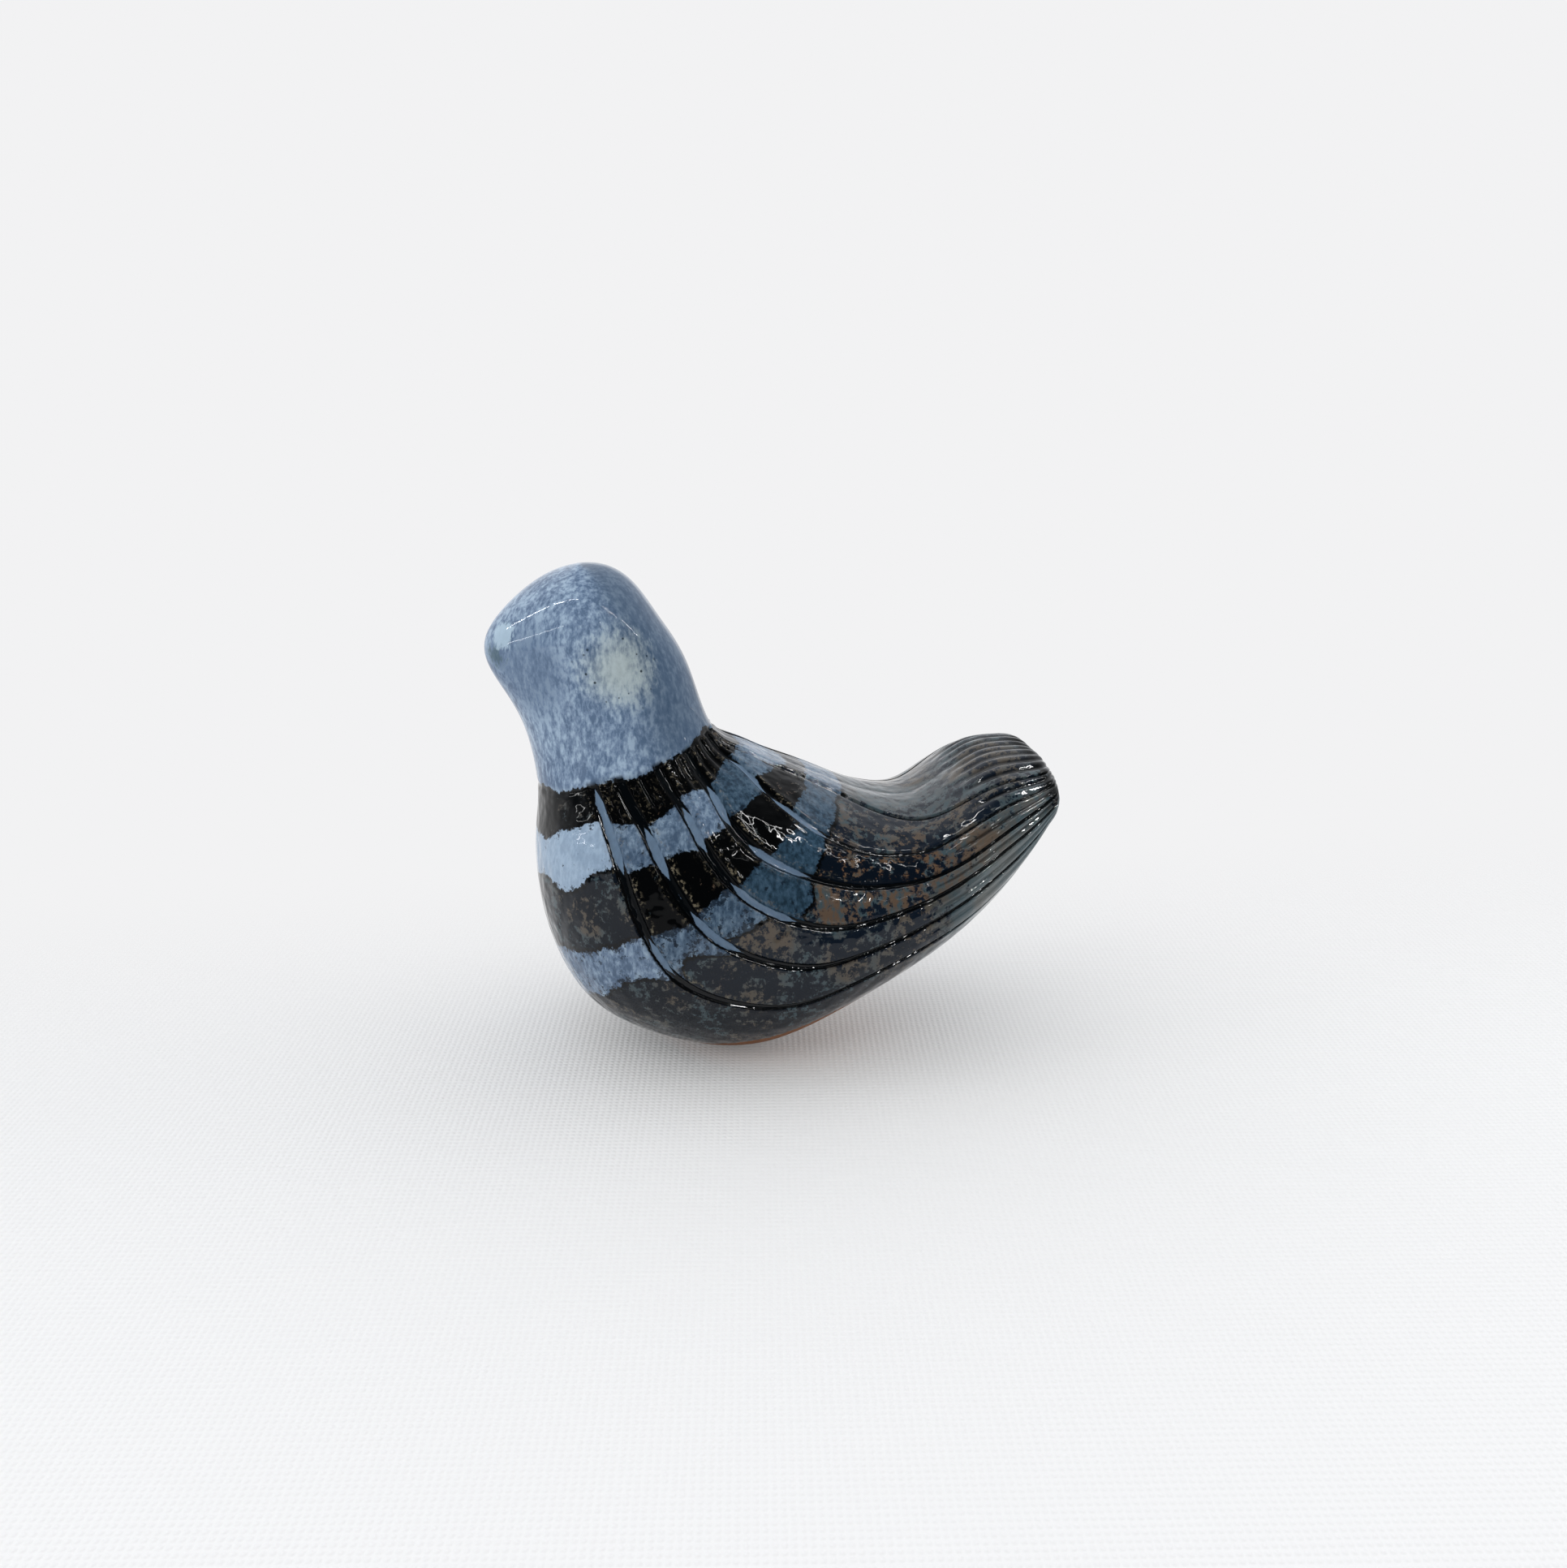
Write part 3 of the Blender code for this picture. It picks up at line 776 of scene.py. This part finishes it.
    def windway(self) -> bpy.types.Mesh:
        """Build the flat slot from the window out through the end of the tail."""
        edge, direction = self.windway_line()
        start = edge + direction * (self.cut_up - self.clearance)
        length = np.linalg.norm(np.array(self.loft.tail_tip) - start) + self.wall
        middle = start + direction * length / 2
        slope = math.atan2(direction[1], direction[0])
        shape = bmesh.new()
        bmesh.ops.create_cube(shape, size=1)
        bmesh.ops.scale(shape, vec=(length, self.windway_width, self.windway_height), verts=shape.verts)
        bmesh.ops.rotate(shape, matrix=Matrix.Rotation(-slope, 3, "Y"), verts=shape.verts)
        bmesh.ops.translate(shape, vec=(middle[0], 0, middle[1]), verts=shape.verts)
        return self.finish("windway", shape)

    def window(self) -> bpy.types.Mesh:
        """Build the opening from the chamber down to the outside, with a ramp that leaves a sharp edge."""
        edge, direction = self.windway_line()
        end = edge + direction * self.cut_up
        top = end[1] + self.throat_rise
        below = -self.clearance
        run = (edge[1] - below) / math.tan(math.radians(self.ramp_angle))
        outline = [(end[0], below), (end[0], top), (edge[0], top), tuple(edge), (edge[0] - run, below)]
        shape = bmesh.new()
        side = [shape.verts.new((x, -self.windway_width / 2, z)) for x, z in outline]
        face = shape.faces.new(side)
        moved = bmesh.ops.extrude_face_region(shape, geom=[face])["geom"]
        far = [part for part in moved if isinstance(part, bmesh.types.BMVert)]
        bmesh.ops.translate(shape, vec=(0, self.windway_width, 0), verts=far)
        bmesh.ops.recalc_face_normals(shape, faces=shape.faces)
        return self.finish("window", shape)

    def build(self, glaze: bpy.types.Material, clay: bpy.types.Material) -> bpy.types.Object:
        """Build the body, take the chamber, windway and window out of it, and dress it.

        Args:
            glaze: material of the glazed skin.
            clay: material of the foot and of every cut.

        Returns:
            The finished piece.
        """
        body = put_in_scene("glazed_whistle_body", self.skin())
        body.data.materials.append(glaze)
        body.data.materials.append(clay)
        cutters = []
        for mesh in (self.chamber(), self.window(), self.windway()):
            mesh.materials.append(clay)
            cutter = put_in_scene(mesh.name, mesh)
            cut = body.modifiers.new(mesh.name, "BOOLEAN")
            cut.operation = "DIFFERENCE"
            cut.solver = "MANIFOLD"
            cut.material_mode = "TRANSFER"
            cut.object = cutter
            cutters.append(cutter)
        bpy.context.view_layer.update()
        graph = bpy.context.evaluated_depsgraph_get()
        finished = bpy.data.meshes.new_from_object(
            body.evaluated_get(graph), preserve_all_data_layers=True, depsgraph=graph
        )
        body.modifiers.clear()
        body.data = finished
        for cutter in cutters:
            bpy.data.objects.remove(cutter, do_unlink=True)
        self.sharpen(finished)
        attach(body, "root")
        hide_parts("whistle_body")
        return body

    def sharpen(self, mesh: bpy.types.Mesh) -> None:
        """Keep the edges of the bare clay crisp and the glazed skin smooth."""
        shape = bmesh.new()
        shape.from_mesh(mesh)
        for edge in shape.edges:
            clay = [face.material_index == Surface.CLAY.value for face in edge.link_faces]
            if any(clay) and (not all(clay) or edge.calc_face_angle(0.0) > math.radians(self.crisp_angle)):
                edge.smooth = False
        shape.to_mesh(mesh)
        shape.free()


@dataclass(frozen=True)
class StonewareGlaze:
    """Stoneware glaze, dipped and fired glossy over carved clay.

    A thick blue glaze mottles and streaks as it runs. The near-black and brown patches hold metal
    oxides: dull grey islands where little glaze lies, and deep navy to black pools where it gathers.
    On the tail's lower strips the metal is painted paler, as a painted reflection of the pale cloth.
    """

    # Darker blue over the top and back of the head: mostly painted shade
    blue_nape_shade: str = "#3f5268"
    blue_deep: str = "#5a6f8a"
    blue_mid: str = "#778ca6"
    blue_pale: str = "#9db2c7"
    blue_low_deep: str = "#1b2c39"
    blue_low_mid: str = "#2a4051"
    blue_low_pale: str = "#3d5467"
    blue_run: str = "#859db8"
    black: str = "#040506"
    channel_dark: str = "#05080b"
    navy: str = "#0e1824"
    metal_teal: str = "#3c4b51"
    # Paler metal of the tail's lower strips: painted reflection of the pale cloth
    metal_cloth_reflection: str = "#66757a"
    metal_grey: str = "#504b44"
    brown: str = "#5e4937"
    ridge_gold: str = "#847c69"
    cream: str = "#b9c5c3"
    # Painted highlight on the tip of the beak
    beak_highlight: str = "#adc3d4"
    throat_teal: str = "#35505c"
    clay: str = "#7c5030"
    # Sizes in millimetres: edge waver, fine grain, mottles, streaks, islands, clouds, pinholes
    waver: float = 3.2
    grain: float = 0.42
    mottle: float = 0.85
    streak: float = 0.4
    island: float = 0.8
    cloud: float = 6.0
    pinhole: float = 1.3
    # How far mottles stretch as the glaze runs down
    run_down: float = 0.5
    # Millimetres by which the edges waver and fray
    waver_reach: float = 1.8
    grain_reach: float = 1.2
    # Half widths by which the carved lines' colours waver and fray
    line_waver: float = 0.7
    line_fray: float = 0.5
    # Half widths from a carved line's middle between which its channel ends, its black rim ends,
    # and the gold on its ridge starts and ends; the gold beside a pleat likewise
    channel_ends: Pair = (0.75, 0.95)
    rim_ends: Pair = (0.7, 1.05)
    gold_starts: Pair = (1.25, 1.6)
    gold_ends: Pair = (1.9, 3.2)
    fold_starts: Pair = (1.1, 1.5)
    fold_ends: Pair = (1.5, 2.2)
    # Values of the noise between which each part of the pattern comes in
    tone_limits: Pair = (0.93, 1.41)
    speck_limits: Pair = (0.64, 0.69)
    hole_limits: Pair = (0.09, 0.15)
    hue_limits: Pair = (0.45, 0.62)
    brown_limits: Pair = (0.4, 0.56)
    island_limits: Pair = (0.6, 0.68)
    gold_limits: Pair = (0.53, 0.64)
    # Dimples that show in the shine, in millimetres, and the shine that brown and black leave
    dimple: float = 1.5
    dimple_depth: float = 0.16
    ior: float = 1.38
    brown_dulls: float = 0.5
    least_sheen: float = 0.06

    def material(self) -> bpy.types.Material:
        """Make the material.

        Returns:
            The glaze, for the whole outside of the body.
        """
        material, tree, shader = new_material("stoneware_glaze")
        add = partial(add_node, tree)
        place = add("TexCoord", out="Object")
        down = add("Mapping", {"Vector": place, "Scale": (1.0, 1.0, self.run_down)})
        noise = {
            name: add("TexNoise", {"Vector": vector, "Scale": 1 / (size * MILLIMETRE), "Detail": detail,
                                   "Roughness": rough})
            for name, vector, size, detail, rough in (
                ("waver", place, self.waver, 2.0, 0.5), ("grain", place, self.grain, 3.0, 0.6),
                ("mottle", down, self.mottle, 4.0, 0.6), ("streak", down, self.streak, 3.0, 0.6),
                ("island", place, self.island, 6.0, 0.72), ("cloud", place, self.cloud, 2.0, 0.5),
                ("blot", place, self.waver * 0.8, 1.0, 0.5), ("dimple", place, self.dimple, 0.6, 0.4),
            )
        }
        mark = {
            name: add("Attribute", out="Fac", attribute_name=name)
            for name in ("light", "groove", "run", "side", "pale", "speck", "black", "brown", "below",
                         "near_neck", "pleat", "tail_line", "nape_shade", "relief", "bare", "cheek", "beak",
                         "throat", "chin")
        }

        # Edges of the blue glaze waver, and fray into grains
        edge = add("Math", (noise["waver"], self.waver_reach, mark["light"]), **ADDED)
        edge = add("Math", (noise["grain"], self.grain_reach, edge), **ADDED)
        zero = (self.waver_reach + self.grain_reach) / 2
        is_light = add("MapRange", (edge, zero - 0.1, zero + 0.1), **SMOOTH)
        near_edge = add("MapRange", (edge, zero, zero + 1.3, 1.0, 0.0), **SMOOTH)
        outline = add("MapRange", (edge, zero - 0.65, zero - 0.25), **SMOOTH)

        # Blue: pale, mottled and streaked on the head, deeper on the body
        tone = add("Math", (noise["streak"], 0.9, noise["mottle"]), **ADDED)
        tone = add("Math", (noise["cloud"], 0.45, tone), **ADDED)
        tone = add("MapRange", (tone, *self.tone_limits))
        head_blue = add("ValToRGB", (tone,), stops=(
            (0.12, self.blue_deep), (0.48, self.blue_mid), (0.9, self.blue_pale)))
        body_blue = add("ValToRGB", (tone,), stops=(
            (0.1, self.blue_low_deep), (0.45, self.blue_low_mid), (0.95, self.blue_low_pale)))
        blue = add("Mix", {SHARE: mark["pale"], BELOW: body_blue, ON_TOP: head_blue}, **COLOURS)
        palest = add("MapRange", (mark["pale"], 1.0, 1.5), **SMOOTH)
        blue = add("Mix", {SHARE: palest, BELOW: blue, ON_TOP: self.blue_pale}, **COLOURS)
        specks = add("Math", (near_edge, 0.1, noise["island"]), **ADDED)
        specks = add("Math", (mark["speck"], 0.12, specks), **ADDED)
        specks = add("MapRange", (specks, *self.speck_limits, 0.0, 0.85), **SMOOTH)
        blue = add("Mix", {SHARE: specks, BELOW: blue, ON_TOP: self.navy}, **COLOURS)

        # Ragged spots on the head: dusky chin and throat, a painted highlight on the tip of the beak, pale
        # cheek
        # Darker blue over the top and back of the head: mostly painted shade, with some of the glaze's own
        # deeper tone
        nape_shade = add("Math", (mark["nape_shade"], 0.75), **PRODUCT)
        blue = add("Mix", {SHARE: nape_shade, BELOW: blue, ON_TOP: self.blue_nape_shade}, **COLOURS)
        for name, colour, ragged, inner, outer, share in (
            ("chin", self.blue_deep, 3.0, 1.5, 6.0, 0.6), ("throat", self.throat_teal, 2.0, 0.4, 1.6, 0.75),
            ("beak", self.beak_highlight, 1.0, 1.2, 2.0, 0.85), ("cheek", self.cream, 2.4, 0.6, 5.4, 0.72),
        ):
            far = add("Math", (tone, -ragged, mark[name]), **ADDED)
            spot = add("MapRange", (far, inner - ragged / 2, outer - ragged / 2, share, 0.0), **SMOOTH)
            blue = add("Mix", {SHARE: spot, BELOW: blue, ON_TOP: colour}, **COLOURS)
        holes = add("TexVoronoi", {"Vector": place, "Scale": 1 / (self.pinhole * MILLIMETRE)},
                    out="Distance")
        holes = add("MapRange", (holes, *self.hole_limits, 0.85, 0.0), **SMOOTH)
        pitted = add("MapRange", (mark["cheek"], 3.0, 6.5, 1.0, 0.0), **SMOOTH)
        holes = add("Math", (holes, pitted), **PRODUCT)
        blue = add("Mix", {SHARE: holes, BELOW: blue, ON_TOP: self.navy}, **COLOURS)

        # Dark glaze: grey, teal or brown islands between navy to black pools
        hue = add("MapRange", (noise["cloud"], *self.hue_limits), **SMOOTH)
        dark = add("Mix", {SHARE: hue, BELOW: self.metal_teal, ON_TOP: self.metal_grey}, **COLOURS)
        # Where black is below zero, on the tail's lower strips, the metal turns paler: painted reflection
        # of the pale cloth
        cloth_reflection = add("MapRange", (mark["black"], -0.6, 0.0, 0.5, 0.0))
        dark = add("Mix", {SHARE: cloth_reflection, BELOW: dark, ON_TOP: self.metal_cloth_reflection}, **COLOURS)
        browned = add("MapRange", (noise["mottle"], *self.brown_limits), **SMOOTH)
        browned = add("Math", (browned, mark["brown"]), **PRODUCT)
        dark = add("Mix", {SHARE: browned, BELOW: dark, ON_TOP: self.brown}, **COLOURS)
        deep = add("MapRange", (mark["black"], 0.3, 0.75), **SMOOTH)
        pool = add("Mix", {SHARE: deep, BELOW: self.navy, ON_TOP: self.black}, **COLOURS)
        island = add("Math", (noise["blot"], 0.45, noise["island"]), **ADDED)
        island = add("Math", (mark["black"], -0.3, island), **ADDED)
        island = add("MapRange", (island, *self.island_limits), **SMOOTH)
        dark = add("Mix", {SHARE: island, BELOW: pool, ON_TOP: dark}, **COLOURS)
        dark = add("Mix", {SHARE: outline, BELOW: dark, ON_TOP: self.black}, **COLOURS)
        colour = add("Mix", {SHARE: is_light, BELOW: dark, ON_TOP: blue}, **COLOURS)

        # Broken gold along the sharp ridges beside the carved lines and the pleats
        groove = add("Math", (noise["grain"], self.line_fray, mark["groove"]), **ADDED)
        groove = add("Math", (noise["waver"], self.line_waver, groove), **ADDED)
        middle = (self.line_waver + self.line_fray) / 2
        channel_ends, rim_ends, gold_starts, gold_ends = (
            (middle + first, middle + last)
            for first, last in (self.channel_ends, self.rim_ends, self.gold_starts, self.gold_ends)
        )
        bank = add("MapRange", (groove, *gold_starts), **SMOOTH)
        bank_end = add("MapRange", (groove, *gold_ends, 1.0, 0.0), **SMOOTH)
        # The gold of the glaze breaking over each ridge is fuller on the lit side of the line: painted
        # highlight
        lit_side = add("MapRange", (mark["side"], -1.0, 1.0, 0.45, 1.0))
        for share in (bank_end, lit_side):
            bank = add("Math", (bank, share), **PRODUCT)
        fold = add("MapRange", (mark["pleat"], *self.fold_starts), **SMOOTH)
        fold_end = add("MapRange", (mark["pleat"], *self.fold_ends, 0.3, 0.0), **SMOOTH)
        fold = add("Math", (fold, fold_end), **PRODUCT)
        bank = add("Math", (bank, fold), operation="MAXIMUM")
        broken = add("MapRange", (noise["grain"], *self.gold_limits), **SMOOTH)
        on_blue = add("MapRange", (is_light, 0.0, 1.0, 0.55, 0.3))
        for share in (broken, mark["near_neck"], mark["below"], on_blue):
            bank = add("Math", (bank, share), **PRODUCT)

        # Channels of the carved lines: blue runs or dark pools, between black edges
        narrow = add("MapRange", (mark["run"], 0.0, 2.6, middle - 0.2, middle + 1.2))
        run = add("Math", (narrow, groove), operation="SUBTRACT")
        run = add("MapRange", (run, -0.08, 0.12), **SMOOTH)
        channel_blue = add("Mix", {SHARE: 0.5, BELOW: body_blue, ON_TOP: self.blue_run}, **COLOURS)
        channel = add("Mix", {SHARE: run, BELOW: self.channel_dark, ON_TOP: channel_blue}, **COLOURS)
        inside = add("MapRange", (groove, *channel_ends, 1.0, 0.0), **SMOOTH)
        inside = add("Math", (inside, mark["below"]), **PRODUCT)
        rim = add("MapRange", (groove, *channel_ends), **SMOOTH)
        # The black of the glaze pooled at the channel's edge reaches further on the shaded side of the
        # line: painted shade
        outer = add("Math", (mark["side"], 0.3, groove), **ADDED)
        outer = add("Math", (mark["near_neck"], -0.2, outer), **ADDED)
        rim_end = add("MapRange", (outer, *rim_ends, 1.0, 0.0), **SMOOTH)
        for share in (rim_end, mark["below"]):
            rim = add("Math", (rim, share), **PRODUCT)
        pleat = add("MapRange", (mark["pleat"], 0.5, 1.1, 0.9, 0.0), **SMOOTH)
        tail_line = add("MapRange", (mark["tail_line"], 0.15, 0.8, 0.0, 0.8), **SMOOTH)

        # The glaze was wiped off the very bottom; each of these colours lies over the ones before
        bare = add("Math", (noise["grain"], 0.7, mark["bare"]), **ADDED)
        bare = add("MapRange", (bare, 0.2, 0.5), **SMOOTH)
        for share, paint in (
            (bank, self.ridge_gold), (inside, channel), (rim, self.black), (pleat, self.black),
            (tail_line, self.black), (bare, self.clay),
        ):
            colour = add("Mix", {SHARE: share, BELOW: colour, ON_TOP: paint}, **COLOURS)

        # Glossy where glazed and matt where bare; islands and wavers show in the shine
        tree.links.new(colour, shader.inputs["Base Color"])
        gloss = add("MapRange", (noise["island"], 0.3, 0.7, 0.03, 0.07))
        rough = add("Math", (bare, 0.6, gloss), **ADDED)
        tree.links.new(rough, shader.inputs["Roughness"])
        shader.inputs["IOR"].default_value = self.ior
        sheen = add("MapRange", (mark["black"], -0.4, 1.0, 0.95, 0.22))
        sheen = add("Math", (mark["brown"], -self.brown_dulls, sheen), **ADDED)
        sheen = add("Math", (sheen, self.least_sheen), operation="MAXIMUM")
        tree.links.new(sheen, shader.inputs["Specular IOR Level"])
        relief = add("Math", (noise["waver"], 1.2, noise["dimple"]), **ADDED)
        bump = add("Bump", {
            "Height": relief, "Strength": mark["relief"], "Distance": self.dimple_depth * MILLIMETRE})
        tree.links.new(bump, shader.inputs["Normal"])
        return material


@dataclass(frozen=True)
class BareClay:
    """Fired stoneware clay without glaze: matt and sandy, toasted orange brown by the kiln."""

    toasted: str = "#7c4e2c"
    pale: str = "#a8764a"
    grit: float = 0.5

    def material(self) -> bpy.types.Material:
        """Make the material of the foot, the windway, the window and the chamber."""
        material, tree, shader = new_material("bare_stoneware_clay")
        add = partial(add_node, tree)
        place = add("TexCoord", out="Object")
        grit = add("TexNoise", {"Vector": place, "Scale": 1 / (self.grit * MILLIMETRE), "Detail": 4.0,
                                "Roughness": 0.65})
        colour = add("ValToRGB", (grit,), stops=((0.35, self.toasted), (0.7, self.pale)))
        tree.links.new(colour, shader.inputs["Base Color"])
        shader.inputs["Roughness"].default_value = 0.85
        bump = add("Bump", {"Height": grit, "Strength": 0.5, "Distance": 0.08 * MILLIMETRE})
        tree.links.new(bump, shader.inputs["Normal"])
        return material


@dataclass(frozen=True)
class Lamp:
    """A soft rectangular lamp, in millimetres and watts."""

    name: str
    place: Triple
    aim: Triple
    size: Pair
    power: float
    turn: float = 0.0
    # A thin strip shows only as a line in the glaze, and a broad lamp only lights
    in_gloss: bool = False

    def hang(self) -> bpy.types.Object:
        """Hang the lamp and turn it to its aim."""
        data = bpy.data.lights.new(self.name, "AREA")
        data.shape = "RECTANGLE"
        data.size, data.size_y = (side * MILLIMETRE for side in self.size)
        data.energy = self.power
        lamp = put_in_scene(self.name, data)
        lamp.location = Vector(self.place) * MILLIMETRE
        facing = (Vector(self.aim) - Vector(self.place)).to_track_quat("-Z", "Y").to_matrix()
        lamp.rotation_euler = (facing @ Matrix.Rotation(math.radians(self.turn), 3, "Z")).to_euler()
        lamp.visible_glossy = self.in_gloss
        lamp.visible_diffuse = not self.in_gloss
        return lamp


@dataclass(frozen=True)
class Studio:
    """Pale woven cloth, pale surroundings, soft lamps and the camera."""

    cloth: str = "#e9e9e9"
    thread: float = 0.67
    cloth_turn: float = 0.12
    floor_size: float = 1.6
    # Metres behind the bird over which the cloth runs into the backdrop
    fade: Pair = (-0.03, 0.06)
    backdrop: str = "#f2f2f3"
    daylight: str = "#f4f6fa"
    camera_place: Triple = (-14.08, -161.9, 80.0)
    camera_tilt: float = 72.85
    camera_turn: float = -8.0
    lens: float = 32.61
    sensor: float = 36.0
    # The room's light on the camera's side and behind the bird, and where along y it turns
    room: float = 0.07
    tent: float = 1.1
    room_turns: Pair = (-0.35, 0.6)
    # Four broad lamps light the bird; thin gaps of the light tent show as lines in the glaze
    lamps: tuple[Lamp, ...] = (
        Lamp("key", (-320, -130, 210), (0, 0, 25), (420, 420), 0.74),
        Lamp("fill", (0, -380, 260), (0, 0, 20), (600, 500), 0.57),
        Lamp("top", (40, -60, 380), (0, 0, 20), (520, 440), 0.53),
        Lamp("right", (320, -60, 160), (0, 0, 20), (400, 320), 0.46),
        Lamp("tent_top_left", (-200, 6, 320), (-200, 40, 0), (250, 4), 0.3, -12.0, True),
        Lamp("tent_top_right", (205, -83, 320), (205, -40, 0), (230, 4), 0.42, -12.0, True),
        Lamp("tent_left", (-330, 55, 225), (0, 55, 225), (4, 170), 0.12, -8.0, True),
        Lamp("tent_right", (330, -40, 212), (0, -40, 212), (4, 175), 0.2, 20.0, True),
        Lamp("tent_low", (-330, -107, 135), (0, -107, 135), (262, 3), 0.06, 35.0, True),
        Lamp("tent_front", (20, -330, 245), (20, 0, 245), (540, 3), 0.1, 0.0, True),
        Lamp("tent_ridge", (180, -100, 320), (180, -60, 0), (3, 95), 0.26, 28.0, True),
        Lamp("tent_ridge_low", (145, -370, 320), (145, -330, 0), (4, 130), 0.5, 17.0, True),
    )

    def cloth_material(self) -> bpy.types.Material:
        """Make the cloth: plain weave of pale cotton, whose threads show as faint rows."""
        material, tree, shader = new_material("pale_cotton_cloth")
        add = partial(add_node, tree)
        shader.inputs["Base Color"].default_value = linear(self.cloth)
        shader.inputs["Roughness"].default_value = 0.9
        place = add("TexCoord", out="Object")
        rows = []
        for turn in (0.0, math.pi / 2):
            turned = add("Mapping", {"Vector": place, "Rotation": (0.0, 0.0, turn + self.cloth_turn)})
            rows.append(add(
                "TexWave",
                {"Vector": turned, "Scale": math.pi / 10 / (self.thread * MILLIMETRE),
                 "Distortion": 0.6, "Detail": 1.0, "Detail Scale": 1.0},
                out="Fac",
            ))
        weave = add("Math", tuple(rows), **PRODUCT)
        bump = add("Bump", {"Height": weave, "Strength": 0.4, "Distance": 0.2 * MILLIMETRE})
        tree.links.new(bump, shader.inputs["Normal"])
        depth = add("SeparateXYZ", (place,), out="Y")
        far = add("MapRange", (depth, *self.fade), **SMOOTH)
        camera = add("LightPath", out="Is Camera Ray")
        shown = add("Math", (camera, camera.node.outputs["Is Glossy Ray"]), operation="MAXIMUM")
        share = add("Math", (far, shown), **PRODUCT)
        glow = add("Emission", {"Color": self.backdrop})
        mix = add("MixShader", (share, shader.outputs[0], glow))
        tree.links.new(mix, tree.nodes["Material Output"].inputs["Surface"])
        return material

    def lay_floor(self) -> bpy.types.Object:
        """Lay the cloth under the bird."""
        shape = bmesh.new()
        bmesh.ops.create_grid(shape, x_segments=1, y_segments=1, size=self.floor_size / 2)
        mesh = bpy.data.meshes.new("cloth")
        shape.to_mesh(mesh)
        shape.free()
        mesh.materials.append(self.cloth_material())
        floor = put_in_scene("cloth", mesh)
        return floor

    def light(self) -> None:
        """Set the pale surroundings and hang the lamps."""
        world = bpy.data.worlds.new("studio")
        bpy.context.scene.world = world
        world.use_nodes = True
        tree = world.node_tree
        add = partial(add_node, tree)
        way = add("TexCoord", out="Generated")
        depth = add("SeparateXYZ", (way,), out="Y")
        around = add("MapRange", (depth, *self.room_turns, self.room, self.tent), **SMOOTH)
        lit = add("Background", {"Color": self.daylight, "Strength": around})
        seen = add("Background", {"Color": self.backdrop, "Strength": 1.0})
        camera = add("LightPath", out="Is Camera Ray")
        mix = add("MixShader", (camera, lit, seen))
        tree.links.new(mix, tree.nodes["World Output"].inputs["Surface"])
        for lamp in self.lamps:
            lamp.hang()

    def aim_camera(self) -> bpy.types.Object:
        """Set the camera at the photograph's viewing angle."""
        data = bpy.data.cameras.new("camera")
        data.lens = self.lens
        data.sensor_width = self.sensor
        data.clip_start = 0.01
        camera = put_in_scene("camera", data)
        camera.location = Vector(self.camera_place) * MILLIMETRE
        camera.rotation_euler = (math.radians(self.camera_tilt), 0.0, math.radians(self.camera_turn))
        bpy.context.scene.camera = camera
        return camera


def main() -> None:
    """Build the whistle, its stage and its light."""
    logging.basicConfig(level=logging.INFO, format="%(message)s")
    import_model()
    view = bpy.context.scene.view_settings
    view.view_transform = "Standard"
    studio = Studio()
    studio.aim_camera()
    body = Body().build(StonewareGlaze().material(), BareClay().material())
    LOG.info("%s: %d faces", body.name, len(body.data.polygons))
    floor = studio.lay_floor()
    LOG.info("%s laid", floor.name)
    studio.light()


if __name__ == "__main__":
    main()
